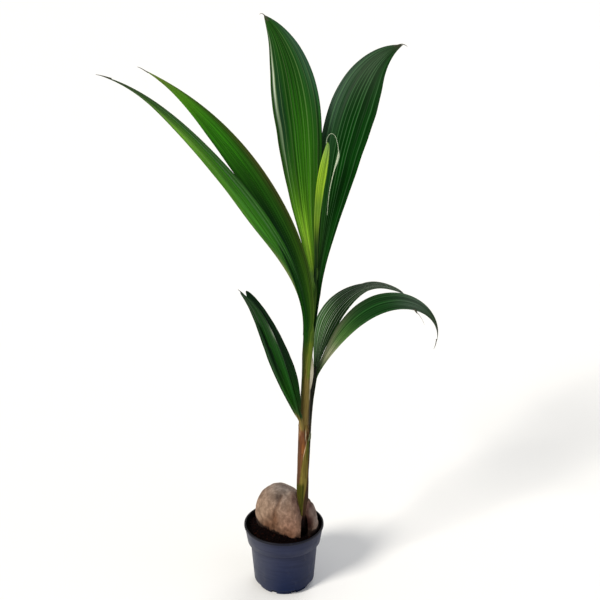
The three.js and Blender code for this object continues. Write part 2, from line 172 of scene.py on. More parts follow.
def lobe_of(**sizes):
    """A lobe's sizes. What only some lobes have is nothing on the others."""
    return Values(**{**dict(tail=0, nib=0, root=[], nudge=None, merge=None), **sizes})


# Lobes, by the same rule as the solids: turn is the heading in the front view, from +X
# towards +Z, and away is its lean towards +Y. Rise and fall shape the width on each side of
# its widest place. Spine is the share of the width on the right of the midline, seen from
# the upper side with the tip up. Face is the way that the upper side looks, at foot and tip.
# Only some lobes have the rest. Tail is the least share of the width kept before the tip, and
# nib how far the end narrows. Nudge moves the midline: by how much, at which place along it
# and over what spread. Root is where the lobe narrows on down its stalk: places from the
# lowest up, with a width at each. Merge is where its tone turns into the stem's: two heights.
LOBES = dict(
    top_leaf_left=lobe_of(
        base=(72.4, -8, 787), length=563, turn=(96.2, 144.2), bend=3.7, sway=-7,
        away=(0.1, 0.22), width=103, foot=0.21, widest=0.625, rise=1.31,
        fall=0.83, spine=0.27, face=((0.45, -1, 0.1), (0.2, -1, 0.15)),
        root=[((61.5, -31.5, 685), 4), ((64, -25, 740), 12)],
    ),
    top_leaf_right=lobe_of(
        base=(72, -14, 734), length=609, turn=(85.1, 0.9), bend=4, sway=1.1,
        away=(0.15, 0.35), width=104, foot=0.14, widest=0.66, rise=1.72,
        fall=0.98, spine=0.77, face=((-0.45, -1, 0.2), (-0.2, -1, 0.5)),
        root=[((64, -31, 618), 2.5), ((67.5, -28, 655), 6), ((70.3, -23, 692), 9.5)],
    ),
    side_leaf_near=lobe_of(
        base=(54, -45, 648), length=748, turn=(87.9, 163.7), bend=4, sway=33.1,
        away=(-0.12, -0.25), width=90, foot=0.16, widest=0.415, rise=3.1,
        fall=0.88, spine=0.95, face=((0.65, 0.55, 0.5), (0.4, 0.5, 0.8)),
        root=[((47.5, -40, 558), 2.5), ((49.8, -42.5, 605), 8)], merge=(596, 650),
        nib=0.4,
    ),
    side_leaf_far=lobe_of(
        base=(62, -40, 655), length=707, turn=(57.3, 156.2), bend=0.4, sway=-9.6,
        away=(0.05, 0.1), width=63, foot=0.3, widest=0.53, rise=0.9,
        fall=1.2, spine=0.05, face=((0.5, -0.8, 0.35), (0.4, -0.7, 0.6)),
        root=[((50, -41.5, 570), 2.5), ((52, -43, 612), 7)], merge=(596, 660),
        nib=0.25, nudge=((-3, -2, 0), 0.1, 0.12),
    ),
    arching_leaf_back=lobe_of(
        base=(71, -6, 537), length=369, turn=(78.1, -62.4), bend=1.1, sway=28.4,
        away=(0.25, 0.6), width=58, foot=0.18, widest=0.37, rise=2.1,
        fall=3.1, spine=0.28, tail=0.5, nudge=((0, 0, -8), 0.86, 0.14),
        face=((-0.6, -0.75, 0.2), (0.1, -0.35, 0.9)),
        root=[((64.5, -11.5, 470), 2), ((68, -9, 505), 5)],
    ),
    arching_leaf_front=lobe_of(
        base=(75, -12, 536), length=415, turn=(75, -107.1), bend=0.74, sway=60,
        away=(-0.1, 0.2), width=45.5, foot=0.165, widest=0.49, rise=1.47,
        fall=1.75, spine=0.15, face=((-0.55, -0.75, 0.4), (0.5, -0.6, 0.6)),
        root=[((65, -18, 470), 2.5), ((69.5, -15, 505), 5)],
    ),
    lower_leaf_near=lobe_of(
        base=(39, -53, 452), length=366, turn=(101, 139), bend=4, sway=2.9,
        away=(-0.2, -0.25), width=66, foot=0.205, widest=0.42, rise=0.74,
        fall=0.57, spine=0.95, face=((0.7, 0.5, 0.4), (0.5, 0.5, 0.6)),
        root=[((43.2, -47.5, 424), 3)], merge=(446, 470),
    ),
    lower_leaf_far=lobe_of(
        base=(33, -46, 471), length=314, turn=(103.8, 116.6), bend=0.4, sway=-3.9,
        away=(-0.08, -0.1), width=50.5, foot=0.3, widest=0.34, rise=0.95,
        fall=0.55, spine=0.63, face=((0.5, -0.8, 0.3), (0.5, -0.7, 0.5)),
        root=[((40, -47, 441), 4)], merge=(446, 478),
    ),
    spear_leaf=lobe_of(
        base=(69, -14, 795), length=277, turn=(89.7, 69.7), bend=1.3, sway=5.7,
        away=(-0.02, 0), width=18, foot=0.42, widest=0.725, rise=2.75,
        fall=0.5, spine=0.95, face=((0, -1, 0.1), (0, -1, 0.1)),
    ),
)
# What all blades share. Crowding packs the rows towards the tip, and join is where the root's
# line meets the midline. Ripples are a share of the width, waves and a turn of the seed.
BLADE = Values(
    rows=120, root_rows=12, per_pleat=8, crowding=1.3, steps=600, join=0.05, seed=7.3,
    thick=0.8, edge_thick=0.35, tip_thin=0.5, nib_from=0.72, sag=0.4, sag_waves=9, sag_width=100,
    ripples=((0.004, 31, 1), (0.003, 53, 2)),
    pleat_share=0.1, pleat_deepest=1.1, pleat_edge=0.96, drift=0.5, drifts=((0.5, 2), (0.3, 5)),
    panel_contrast=0.22, panel_sway=0.5, panel_waves=5,
    rib_edge=0.78, ribs_begin=(-0.02, 0.12), ribs_end=(0.9, 1.0),
)

# Looks of the lobes. Rib is the colour of its fold ribs, their strength and the least share of
# it that a rib has. A tint is its colour, its place along and its spread, its place across
# from left to right and its spread, and its strength. Below nought along is the root.
# Some tints are painted sheen, painted highlights or painted shade, as marked.
LOOKS = dict(
    top_leaf_left=Values(
        pleats=12, plain="#1b4a10", rib=("#8fae6a", 0.3, 0.25), tints=[
            ("#27680f", 0.4, 0.3, 0.52, 0.22, 0.9),
            ("#3f8417", 0.45, 0.16, 0.62, 0.16, 0.7),
            # Painted sheen: blue-grey on the upper right margin
            ("#3a5a48", 0.82, 0.17, 1.0, 0.2, 0.9),
            ("#1c3728", 0.62, 0.24, 0.17, 0.09, 0.75),
            ("#2a3a1c", 0.4, 0.35, 0.0, 0.06, 0.6),
            ("#6cae1c", 0.08, 0.21, 0.4, 0.48, 0.94),
            ("#a8d240", 0.06, 0.13, 0.34, 0.24, 0.88),
            # Painted highlight: a pale streak near the left margin
            ("#c3ccb9", 0.74, 0.15, 0.075, 0.02, 0.85),
            # Painted highlight along the left margin, where a fold catches the light
            ("#9aa88e", 0.5, 0.12, 0.1, 0.02, 0.6),
            # Painted shade on the right of the foot, in the fold
            ("#0a3208", 0.04, 0.17, 1.0, 0.32, 0.97),
            ("#6a8a48", -0.03, 0.04, 0.0, 2.0, 0.9),
            ("#44661c", -0.12, 0.07, 0.0, 2.0, 0.9),
            ("#4b4d3c", 1.0, 0.02, 0.5, 2.0, 0.8),
        ],
    ),
    top_leaf_right=Values(
        pleats=11, plain="#043604", rib=("#5f8f5c", 0.5, 0.25), tints=[
            ("#223f12", 0.08, 0.22, 0.25, 0.35, 0.7),
            # Painted sheen: blue-grey on the upper left margin
            ("#3d5345", 0.72, 0.22, 0.0, 0.25, 0.95),
            ("#40523f", 0.86, 0.12, 0.4, 0.4, 0.8),
            ("#2d4a2a", 0.35, 0.2, 0.0, 0.2, 0.6),
            ("#0a2c0a", -0.05, 0.12, 0.5, 2.0, 0.8),
            ("#4d4f42", 1.0, 0.03, 0.5, 2.0, 0.9),
        ],
    ),
    side_leaf_near=Values(
        pleats=8, plain="#1d5808", rib=("#6f9a35", 0.22, 0.25), tints=[
            ("#2b6c0c", 0.42, 0.2, 0.6, 0.4, 0.8),
            ("#103a10", 0.15, 0.14, 0.3, 0.5, 0.7),
            # Painted shade: dark on the inner side near the foot, in the fold
            ("#05260a", 0.03, 0.13, 0.4, 2.0, 0.93),
            ("#062c10", 0.16, 0.12, 0.0, 0.5, 0.96),
            ("#78844f", 0.2, 0.075, 1.0, 0.2, 0.95),
            ("#6a9e2c", 0.72, 0.14, 1.0, 0.45, 0.85),
            ("#4f8a1c", 0.5, 0.16, 1.0, 0.2, 0.7),
            ("#263f24", 0.7, 0.3, 0.0, 0.22, 0.75),
            ("#14400f", -0.06, 0.1, 0.5, 2.0, 0.8),
            ("#454a3c", 1.0, 0.15, 0.5, 2.0, 0.85),
        ],
    ),
    side_leaf_far=Values(
        pleats=8, plain="#21500d", rib=("#4f7a35", 0.3, 0.25), tints=[
            ("#2f7410", 0.72, 0.16, 0.4, 0.6, 0.85),
            ("#4a8a14", 0.86, 0.08, 0.2, 0.6, 0.8),
            # Painted shade on the inner face, in the fold between the lobes
            ("#052a16", 0.3, 0.18, 0.1, 0.42, 0.93),
            ("#0c4408", 0.06, 0.13, 0.5, 0.6, 0.9),
            ("#46641c", 0.06, 0.15, 1.0, 0.38, 0.95),
            ("#464321", 0.5, 0.36, 1.0, 0.2, 0.9),
            ("#3c6410", 0.22, 0.12, 0.75, 0.2, 0.6),
            ("#77863c", 1.0, 0.1, 0.5, 2.0, 0.85),
        ],
    ),
    arching_leaf_back=Values(
        pleats=12, plain="#2b5122", rib=("#c6d3bd", 0.68, 0.65), tints=[
            ("#3a5a38", 0.3, 0.2, 0.0, 0.2, 0.8),
            ("#4a6246", 0.52, 0.14, 0.0, 0.3, 0.9),
            ("#12290f", 0.42, 0.16, 1.0, 0.3, 0.7),
            ("#2a342b", 0.72, 0.2, 0.5, 2.0, 0.8),
            ("#3f483f", 0.95, 0.15, 0.5, 2.0, 0.8),
            ("#1d2b1c", -0.05, 0.1, 0.5, 2.0, 0.8),
        ],
    ),
    arching_leaf_front=Values(
        pleats=7, plain="#0f3a10", rib=("#4f6e48", 0.4, 0.25), tints=[
            ("#2b5a22", 0.22, 0.12, 0.5, 2.0, 0.5),
            ("#4e7038", 0.26, 0.1, 0.8, 0.6, 0.6),
            ("#77795f", 0.24, 0.12, 0.05, 0.22, 0.85),
            ("#7f8269", 0.15, 0.075, 0.5, 2.0, 0.95),
            ("#3a5030", 0.02, 0.05, 0.5, 2.0, 0.85),
            ("#22301f", 0.4, 0.25, 0.0, 0.16, 0.7),
            ("#4b5a50", 0.72, 0.1, 0.3, 2.0, 0.8),
            ("#595650", 0.98, 0.14, 0.5, 2.0, 0.85),
            ("#23281e", -0.07, 0.07, 0.5, 2.0, 0.85),
        ],
    ),
    lower_leaf_near=Values(
        pleats=6, plain="#033303", rib=("#2f6a20", 0.25, 0.25), tints=[
            ("#12500a", 0.36, 0.3, 0.35, 0.3, 0.85),
            # Painted highlight: a pale streak along the fold's margin
            ("#b9c2b2", 0.66, 0.05, 0.0, 0.07, 0.9),
            ("#2a4a12", -0.02, 0.1, 0.5, 2.0, 0.7),
        ],
    ),
    lower_leaf_far=Values(
        pleats=5, plain="#17301a", rib=("#3a5536", 0.3, 0.25), tints=[
            ("#225a0e", 0.12, 0.2, 0.3, 0.6, 0.85),
            # Painted highlight: the pale streak along the fold, on this lobe
            ("#7f8a7a", 0.66, 0.07, 0.25, 0.06, 0.6),
            ("#4a5526", -0.06, 0.07, 0.5, 2.0, 0.8),
        ],
    ),
    spear_leaf=Values(
        pleats=3, plain="#93b92b", rib=("#b4cf62", 0.3, 0.25), tints=[
            ("#7f9f6a", 1.0, 0.12, 0.5, 2.0, 0.6),
            ("#4d7a1e", 0.45, 0.12, 1.0, 0.3, 0.5),
            # Painted shade: the lower spear is dark where it lies in the fold's shade
            ("#0e330a", 0.0, 0.3, 0.5, 2.0, 1.0),
            ("#0e330a", 0.12, 0.22, 0.5, 2.0, 1.0),
            ("#5f8a2e", 0.48, 0.1, 0.5, 2.0, 0.6),
        ],
    ),
)
UNDERSIDE = Values(tone="#5c6e4e", share=0.04)

# The skin of the stem and its sheaths: plain tones by height, then strips that run up it. A
# strip is its colour, strength, softness in degrees, and its line: height, angle, half-width.
# Angles turn from +X, so 180 is the left of the photograph, 270 its front and 360 its right.
# Split is where the dead sheaths part and show the green stem, and hole where one is torn; the
# hole's near-black is painted shade.
SPLIT = Values(soft=4, depth=0.8, line=(
    (208, 267, 3), (235, 261, 16), (257, 262, 30), (285, 276, 40), (320, 288, 38), (345, 295, 31),
    (365, 304, 20), (385, 312, 13), (398, 315, 3),
))
HOLE = Values(soft=4, depth=1.0, line=((394, 306, 4), (403, 309, 8), (411, 311, 5)))
STRIP_FADE = 12
STEM_TONES = [
    # The first two tones, near black, are painted shade where the stem's foot sinks into the husk's
    # hollow.
    (168, "#120706"), (203, "#1c0d0a"), (226, "#45351f"), (290, "#55402a"), (350, "#74502f"),
    (414, "#735230"), (438, "#6d5a30"), (540, "#675f28"), (600, "#55651a"), (700, "#3a5a16"),
]
STEM_STRIPS = [
    ("#46521a", 0.9, 18, ((445, 186, 30), (540, 190, 42), (600, 205, 58), (690, 205, 62))),
    ("#86753c", 0.8, 18, ((425, 268, 32), (480, 274, 27), (560, 277, 21), (600, 280, 14))),
    ("#64791c", 0.85, 20, ((552, 296, 26), (640, 300, 36), (660, 300, 36))),
    ("#456418", 0.85, 20, ((640, 300, 36), (704, 300, 44))),
    ("#0d3208", 0.9, 14, ((625, 200, 36), (660, 212, 50), (704, 216, 58))),
    # Painted shade: green-black on the stem's right side
    ("#1c1d0a", 0.9, 12, ((425, 345, 22), (470, 345, 26), (513, 350, 18), (540, 356, 10))),
    ("#b8b198", 0.85, 9, ((500, 325, 5), (530, 332, 13), (570, 336, 12), (598, 338, 5))),
    ("#674027", 0.92, 12, ((352, 214, 40), (370, 225, 55), (402, 230, 58), (416, 235, 38))),
    ("#7d4f2a", 0.7, 14, ((364, 262, 14), (380, 268, 20), (396, 270, 14))),
    ("#4a2a1a", 0.7, 8, ((384, 283, 5), (398, 286, 8), (412, 284, 5))),
    ("#5b402f", 0.85, 14, ((290, 203, 30), (330, 205, 38), (360, 206, 38), (384, 205, 24))),
    ("#8a6a45", 0.6, 10, ((440, 186, 10), (490, 188, 12), (528, 190, 6))),
    ("#b79c7a", 0.75, 7, ((430, 208, 5), (448, 212, 9), (468, 214, 5))),
    ("#a07f5e", 0.7, 7, ((402, 214, 5), (412, 222, 11), (422, 222, 5))),
    # Painted shade: dark on the stem's right side
    ("#2a2a16", 0.85, 10, ((296, 348, 14), (330, 350, 18), (360, 348, 22), (425, 346, 20))),
    ("#3d2c20", 0.85, 12, ((206, 322, 40), (240, 322, 40), (282, 325, 34), (290, 335, 20))),
    ("#70662d", 0.95, 6, SPLIT.line),
    ("#3d400b", 0.92, 8, ((208, 264, 4), (235, 250, 22), (258, 242, 40), (276, 240, 46))),
    ("#2c330b", 0.75, 5, ((222, 268, 4), (240, 272, 9), (262, 273, 7), (280, 272, 3))),
    ("#48561b", 0.85, 6, ((348, 314, 9), (368, 318, 14), (386, 322, 12), (394, 322, 4))),
    ("#c4ae8c", 0.85, 3, ((352, 268, 2), (366, 280, 4), (380, 292, 4), (392, 298, 2))),
    ("#cbbfa2", 0.85, 3, ((402, 286, 3), (410, 287, 5), (415, 286, 3))),
    # Painted shade, near black, in the torn hole
    ("#0b0805", 0.95, 4, HOLE.line),
]

# A tint of the husk is its colour, its middle, its spread, as one number or one for each axis,
# and its strength; some are painted shade or painted highlights, as marked. Covers lie over the
# tints, a colour and a strength each: painted shade on the creases, painted shade in the hollow,
# and a near-black tone below a line along the soil. Shade is how soon the hollow is dark.
HUSK_LOOK = Values(plain="#8a7261", shade=(0.02, 0.45), covers=(
    ("#5d4434", 0.7), ("#180807", 0.97), ("#160b07", 0.96),
), tints=[
    ("#827a74", (0, -10, 262), 44, 0.9),
    ("#907b69", (-58, -30, 195), 44, 0.8),
    ("#8f7060", (20, -60, 185), 36, 0.75),
    ("#76503a", (10, -62, 152), 34, 0.85),
    ("#76533c", (-40, -50, 165), 22, 0.7),
    # Painted shadow of the stem on the husk's top
    ("#4a372d", (40, -30, 238), 14, 0.8),
    # Painted shadow of the stem on the husk's top
    ("#4b2f2a", (33, -42, 226), (8, 20, 22), 0.75),
    # Painted shade on the top of the torn lobe
    ("#54403e", (60, -38, 222), (16, 40, 14), 0.9),
    # This and the next: partly own red-brown, partly painted shade beside the hollow
    ("#34160e", (60, -50, 198), (13, 60, 30), 1.0),
    ("#2a110b", (57, -50, 192), (11, 60, 32), 1.0),
    ("#5d3f2c", (-40, -52, 176), 22, 0.85),
    # Painted highlight on the torn lobe's right edge
    ("#8f8580", (80, -30, 190), (8, 40, 24), 0.85),
    # Painted shade, near black, in the hollow
    ("#1e0a05", (59, -55, 180), (8, 60, 13), 1.0),
    ("#8d7d75", (69, -45, 210), (9, 40, 11), 0.8),
    ("#5f3f2a", (-21, -58, 198), (10, 30, 22), 0.85),
    # Painted shadow of the stem on the husk's top
    ("#46302a", (22, -40, 244), (8, 30, 20), 0.85),
    # Painted shade in the pit of the groove
    ("#33241f", (-15, -50, 244), (5, 30, 8), 0.9),
])
# Below this line the husk is painted near black: the line's height at each place across in front,
# its highest at the back, and how far knobs and fibres shift it
FOOT_DARK_LINE = [(-66, 180), (-51, 173), (-39, 170), (-27, 167), (-13, 164), (3, 160), (17, 153), (38, 147),
         (50, 168), (60, 168), (84, 160)]
FOOT_DARK_EDGE = Values(back=158, knobs=5, fibres=3, below=3, above=5)
# The pot's colours: low at its foot and high above, turning between the heights of rise. Its
# left has a painted sheen where the key light falls, and its rim a dark tone, each with where it
# begins and is full, and its share. Inside is painted shade, near black.
POT_TONES = Values(
    high="#282d45", low="#09193b", rise=(5, 120), left="#4b4d56", leftward=(-0.1, 0.95),
    left_share=0.45, rim="#0c0c12", rim_edge=(-0.5, 1), rim_share=0.85, inside="#050507",
)
SOIL_TONES = ("#0c0404", "#190907", "#2e140c")


# Threads: points round one and along it, and a direction that none of them follows. Each is a
# line of points and its radii, evenly spaced along it.
THREAD = Values(sides=7, rows=40, aid=(0.31, -0.9, 0.3))
SPEAR_THREADS = [
    ([(92, -26, 1068), (94, -26, 1080), (101, -24, 1088), (110, -22, 1083), (116, -20, 1064),
      (118, -19, 1046)], (0.4, 0.5, 0.6)),
    ([(118, -19, 1052), (117.3, -19, 1040), (114, -18, 1026), (108.6, -16, 1007), (99.5, -14, 962),
      (95.5, -11, 912)], (0.6, 2.6, 2.3, 1.1, 0.6, 0.35)),
]
# Dry ends of the lobes, and the torn thread that hangs from the bent leaf
DRY_TIPS = [
    ([(-28, 77, 1304), (-36, 80, 1315), (-42, 82, 1318), (-46, 82, 1316)], (1.4, 1.0, 0.6, 0.3)),
    ([(238, 127, 1246), (254, 132, 1250), (263, 134, 1248), (268, 135, 1244)],
     (1.6, 1.1, 0.7, 0.3)),
    ([(-316, -173, 1221), (-332, -179, 1227), (-343, -183, 1230)], (1.4, 0.8, 0.4)),
    ([(-272, 9, 1207), (-286, 12, 1215), (-294, 14, 1218)], (1.2, 0.8, 0.4)),
    ([(342, 6, 622), (340, 8, 607), (337, 9, 597)], (1.2, 0.8, 0.3)),
    ([(-78, -125, 774), (-85, -133, 784), (-89, -137, 789)], (1.3, 0.9, 0.3)),
    ([(286, -14, 701), (291, -14.5, 696), (294, -15, 691)], (1.0, 2.3, 0.9)),
    ([(292, -14.5, 694), (298, -15, 688), (305, -15, 677), (311, -14, 665)], (0.8, 0.5, 0.35, 0.2)),
]
# Loose fibres along the edge of the torn sheath: angles, how far below its top they start,
# their length and lean, how far they stand out and bend away, and their radii
FRAY = Values(
    count=22, angle=(180, 385), below=(10, 22), length=(6, 18), lean=(-10, 10), proud=1.4,
    bend=1.4, bends=(0.2, 1.0), steps=3, radii=(0.45, 0.3, 0.12),
)
# The frayed grey lump on the right of the stem. A curl is its angle, height and length, and
# bulge how far it stands out at each place along it.
LUMP = Values(
    proud=1.2, lean=9, bulge=((0, 0.2), (0.35, 2.2), (0.7, 2.6), (1, 1.2)),
    radii=(0.5, 1.3, 1.1, 0.4), curls=[
        (318, 392, 18), (328, 390, 22), (338, 393, 20), (348, 391, 21), (356, 394, 17),
        (333, 396, 16), (343, 388, 19),
    ],
)


# Numbers and vectors

def lerp(a, b, t):
    return a + (b - a) * t


def smooth(value, low, high):
    share = np.clip((value - low) / (high - low), 0, 1)
    return share * share * (3 - 2 * share)


def unit(vectors):
    return vectors / np.linalg.norm(vectors, axis=-1, keepdims=True)


def linear(code):
    """A #rrggbb colour as linear red, green and blue."""
    parts = [int(code[i:i + 2], 16) / 255 for i in (1, 3, 5)]
    return np.array([p / 12.92 if p <= 0.04045 else ((p + 0.055) / 1.055) ** 2.4 for p in parts])


def bell(value, centre, spread):
    return np.exp(-(((value - centre) / spread) ** 2))


def painted(tone, code, share):
    """A tone for each point, with a colour laid over it by the share given for each point."""
    return lerp(tone, linear(code), share[..., None])


# Meshes

def grid_faces(rows, columns, closed=False):
    """Quads between a grid's points. A closed grid joins its last column to its first."""
    spans = columns if closed else columns - 1
    row = np.arange(rows - 1)[:, None] * columns
    column = np.arange(spans)[None, :]
    after = (column + 1) % columns
    corners = [row + column, row + after, row + columns + after, row + columns + column]
    return np.stack(corners, -1).reshape(-1, 4)


def shell_faces(rows, columns):
    """Quads of a thin closed shell: its front grid, its back grid and its rim."""
    count = rows * columns
    index = np.arange(count).reshape(rows, columns)
    rim = np.concatenate([index[0], index[1:, -1], index[-1, -2::-1], index[-2:0:-1, 0]])
    after = np.roll(rim, -1)
    edge = np.stack([after, rim, rim + count, after + count], -1)
    front = grid_faces(rows, columns)
    return np.concatenate([front, front[:, ::-1] + count, edge])


def mesh_object(name, points, faces, materials, picks=None, tone=None, marks=None, sharp=40):
    """A mesh object from points in millimetres, with a tone and other marks for each point."""
    mesh = bpy.data.meshes.new(name)
    rings = [[int(corner) for corner in face] for face in faces]
    mesh.from_pydata((np.asarray(points).reshape(-1, 3) * MM).tolist(), [], rings)
    for material in materials:
        mesh.materials.append(material)
    if picks is not None:
        mesh.polygons.foreach_set("material_index", np.asarray(picks, dtype=np.int32))
    if tone is not None:
        layer = mesh.color_attributes.new("tone", "FLOAT_COLOR", "POINT")
        flat = np.asarray(tone).reshape(-1, 3)
        layer.data.foreach_set("color", np.c_[flat, np.ones(len(flat))].ravel())
    for key, values in (marks or {}).items():
        add_mark(mesh, key, np.asarray(values))
    mesh.shade_smooth()
    mesh.set_sharp_from_angle(angle=math.radians(sharp))
    made = bpy.data.objects.new(name, mesh)
    bpy.context.scene.collection.objects.link(made)
    return made


def add_mark(mesh, key, values):
    vector = values.shape[-1] == 3
    kind, field = ("FLOAT_VECTOR", "vector") if vector else ("FLOAT", "value")
    layer = mesh.attributes.new(key, kind, "POINT")
    layer.data.foreach_set(field, values.ravel())


def thin_shell(name, front, back, tones, material, grain, marks=None, sharp=60):
    """A thin closed shell between two grids of points, with a tone for each side."""
    marks = {**(marks or {}), "grain": np.stack([grain, grain]).reshape(-1, 3)}
    return mesh_object(
        name, np.stack([front, back]), shell_faces(*front.shape[:2]), [material],
        tone=np.stack(tones), marks=marks, sharp=sharp,
    )


def dressed(made, slot, *nodes):
    """The piece rides on the plant's body and stands for CAD nodes, which it hides. Its slot is not
    used.
    """
    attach(made, BODY)
    if nodes:
        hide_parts(*nodes)
    return made


# Materials

def node(tree, kind, inputs=None, **settings):
    made = tree.nodes.new("ShaderNode" + kind)
    for key, value in settings.items():
        setattr(made, key, value)
    for key, value in (inputs or {}).items():
        if isinstance(value, bpy.types.NodeSocket):
            tree.links.new(value, made.inputs[key])
        else:
            made.inputs[key].default_value = value
    return made


def rgba(code):
    return (*linear(code), 1)


def mixed(tree, share, a, b, way="MIX"):
    made = node(tree, "Mix", {0: share, 6: a, 7: b}, data_type="RGBA", blend_type=way)
    return made.outputs[2]


def eased(tree, value, low, high, least=0.0, most=1.0):
    limits = {"Value": value, "From Min": low, "From Max": high, "To Min": least, "To Max": most}
    return node(tree, "MapRange", limits, interpolation_type="SMOOTHSTEP").outputs[0]


def multiplied(tree, tone, factor):
    return mixed(tree, 1.0, tone, (*factor, 1), "MULTIPLY")


def grained(tree, source, stretch, detail, rough):
    """Noise over a vector that is stretched along each axis."""
    scaled = node(tree, "Mapping", {"Vector": source, "Scale": stretch})
    inputs = {"Vector": scaled.outputs[0], "Scale": 1.0, "Detail": detail, "Roughness": rough}
    return node(tree, "TexNoise", inputs).outputs["Fac"]


def attribute(tree, name, output):
    return node(tree, "Attribute", attribute_name=name).outputs[output]


def new_material(name, roughness, specular):
    made = bpy.data.materials.new(name)
    made.use_nodes = True
    shader = made.node_tree.nodes["Principled BSDF"]
    shader.inputs["Roughness"].default_value = roughness
    shader.inputs["Specular IOR Level"].default_value = specular
    return made, made.node_tree, shader


def bumped(tree, shader, height, strength, distance):
    inputs = {"Height": height, "Strength": strength, "Distance": distance * MM}
    made = node(tree, "Bump", inputs)
    tree.links.new(made.outputs["Normal"], shader.inputs["Normal"])


# Skins with a tone for each place, some with fold ribs over it. Noises run along the grain or
# lie in the object's own metres: each is its stretch along the axes, its detail and its
# roughness. A skin starts as its tone, or as its tone times a factor. A layer lays a factor of
# the tone, or a colour, over it as its noise rises between two values, with a least and a most
# share. Rough is the noise that the roughness follows between two values, and bump is a noise,
# its strength and its depth.
SKINS = dict(
    leaf=Values(
        grain=True, ribs=True, start=(0.42, 0.5, 0.42), noises=dict(
            veins=((1.1, 0.006, 1.0), 2, 0.55), broad=((0.14, 0.008, 1.0), 3, 0.55),
            flecks=((0.5, 0.25, 1.0), 4, 0.55),
        ), layers=[
            ("veins", (0.36, 0.66), (1.3, 1.25, 1.2)),
            ("broad", (0.42, 0.68, 0.0, 0.4), (0.42, 0.5, 0.42)),
            ("flecks", (0.66, 0.84, 0.0, 0.06), "#6d7a4a"),
        ], rough=("broad", 0.3, 0.75), bump=("veins", 0.3, 0.2),
    ),
    sheath=Values(
        grain=True, ribs=False, start=(0.55, 0.52, 0.46), noises=dict(
            fibres=((0.9, 0.015, 1.0), 4, 0.6), stains=((0.16, 0.02, 1.0), 5, 0.65),
        ), layers=[
            ("fibres", (0.36, 0.66), (1.22, 1.2, 1.12)),
            ("stains", (0.52, 0.76, 0.0, 0.35), (0.55, 0.52, 0.46)),
        ], rough=("stains", 0.3, 0.7), bump=("fibres", 0.4, 0.3),
    ),
    husk=Values(
        grain=False, ribs=False, start=(0.5, 0.46, 0.43), noises=dict(
            grain=((190, 190, 120), 5, 0.55), blotches=((52, 52, 42), 5, 0.6),
            specks=((230, 230, 200), 2, 0.5),
        ), layers=[
            ("grain", (0.3, 0.7, 0.35, 1.0), (1.25, 1.24, 1.22)),
            ("blotches", (0.42, 0.62, 0.0, 0.75), (0.5, 0.46, 0.43)),
            ("specks", (0.66, 0.76, 0.0, 0.4), "#4a3b32"),
        ], rough=None, bump=("grain", 0.4, 0.8),
    ),
    pot=Values(
        grain=False, ribs=False, start=None, noises=dict(
            streaks=((14, 14, 150), 3, 0.55), grit=((900, 900, 900), 2, 0.55),
            dust=((30, 30, 22), 5, 0.65),
        ), layers=[
            ("streaks", (0.4, 0.7, 0.0, 0.6), tuple(linear("#c8ccd4"))),
            ("dust", (0.55, 0.8, 0.0, 0.14), "#6a6a6c"),
        ], rough=("dust", 0.35, 0.7), bump=("grit", 0.2, 0.15),
    ),
)


def skin_material(name, look, specular, roughness):
    """A skin with its look's layers. Its roughness is a least and a most, or one number."""
    varied = look.rough is not None
    made, tree, shader = new_material(name, roughness[0] if varied else roughness, specular)
    if look.grain:
        source = attribute(tree, "grain", "Vector")
    else:
        source = node(tree, "TexCoord").outputs["Object"]
    noises = {key: grained(tree, source, *sizes) for key, sizes in look.noises.items()}
    tone = attribute(tree, "tone", "Color")
    body = multiplied(tree, tone, look.start) if look.start else tone
    for key, limits, cover in look.layers:
        over = rgba(cover) if isinstance(cover, str) else multiplied(tree, tone, cover)
        body = mixed(tree, eased(tree, noises[key], *limits), body, over)
    if look.ribs:
        crest, rib = attribute(tree, "crest", "Fac"), attribute(tree, "rib", "Color")
        body = mixed(tree, crest, body, rib)
    tree.links.new(body, shader.inputs["Base Color"])
    if varied:
        key, low, high = look.rough
        rough = eased(tree, noises[key], low, high, *roughness)
        tree.links.new(rough, shader.inputs["Roughness"])
    key, strength, depth = look.bump
    bumped(tree, shader, noises[key], strength, depth)
    return made


# What plain surfaces share: their grit, the factor of its dark places and its depth
PLAIN = Values(specular=0.05, detail=4, rough=0.65, limits=(0.35, 0.68), shade="#8a8a8a", depth=1)


def plain_material(name, code, rough, scale, strength):
    """A rough natural surface of one colour, broken up by noise at one scale."""
    made, tree, shader = new_material(name, rough, PLAIN.specular)
    place = node(tree, "TexCoord").outputs["Object"]
    grit = grained(tree, place, (scale, scale, scale), PLAIN.detail, PLAIN.rough)
    dark = (*(linear(code) * linear(PLAIN.shade)), 1)
    body = mixed(tree, eased(tree, grit, *PLAIN.limits), dark, rgba(code))
    tree.links.new(body, shader.inputs["Base Color"])
    bumped(tree, shader, grit, strength, PLAIN.depth)
    return made


LEAF = skin_material("leaf_skin", SKINS["leaf"], specular=0.035, roughness=(0.38, 0.55))
YOUNG = skin_material("young_leaf_skin", SKINS["leaf"], specular=0.1, roughness=(0.38, 0.55))
STALK_SKIN = skin_material("stalk_skin", SKINS["sheath"], specular=0.1, roughness=(0.4, 0.65))
DRY_SKIN = skin_material("dry_sheath_skin", SKINS["sheath"], specular=0.06, roughness=(0.65, 0.9))
HUSK_SKIN = skin_material("husk_skin", SKINS["husk"], specular=0.12, roughness=0.9)
POT_SKIN = skin_material("pot_plastic", SKINS["pot"], specular=0.12, roughness=(0.38, 0.52))
THREAD_SKIN = plain_material("pale_thread", "#dcebc8", rough=0.7, scale=900, strength=0.2)
DRY_TIP_SKIN = plain_material("dry_tip", "#5c5b4b", rough=0.8, scale=900, strength=0.3)
FRAY_SKIN = plain_material("frayed_fibre", "#8a7350", rough=0.85, scale=700, strength=0.4)
LUMP_SKIN = plain_material("frayed_lump", "#79805f", rough=0.85, scale=700, strength=0.5)
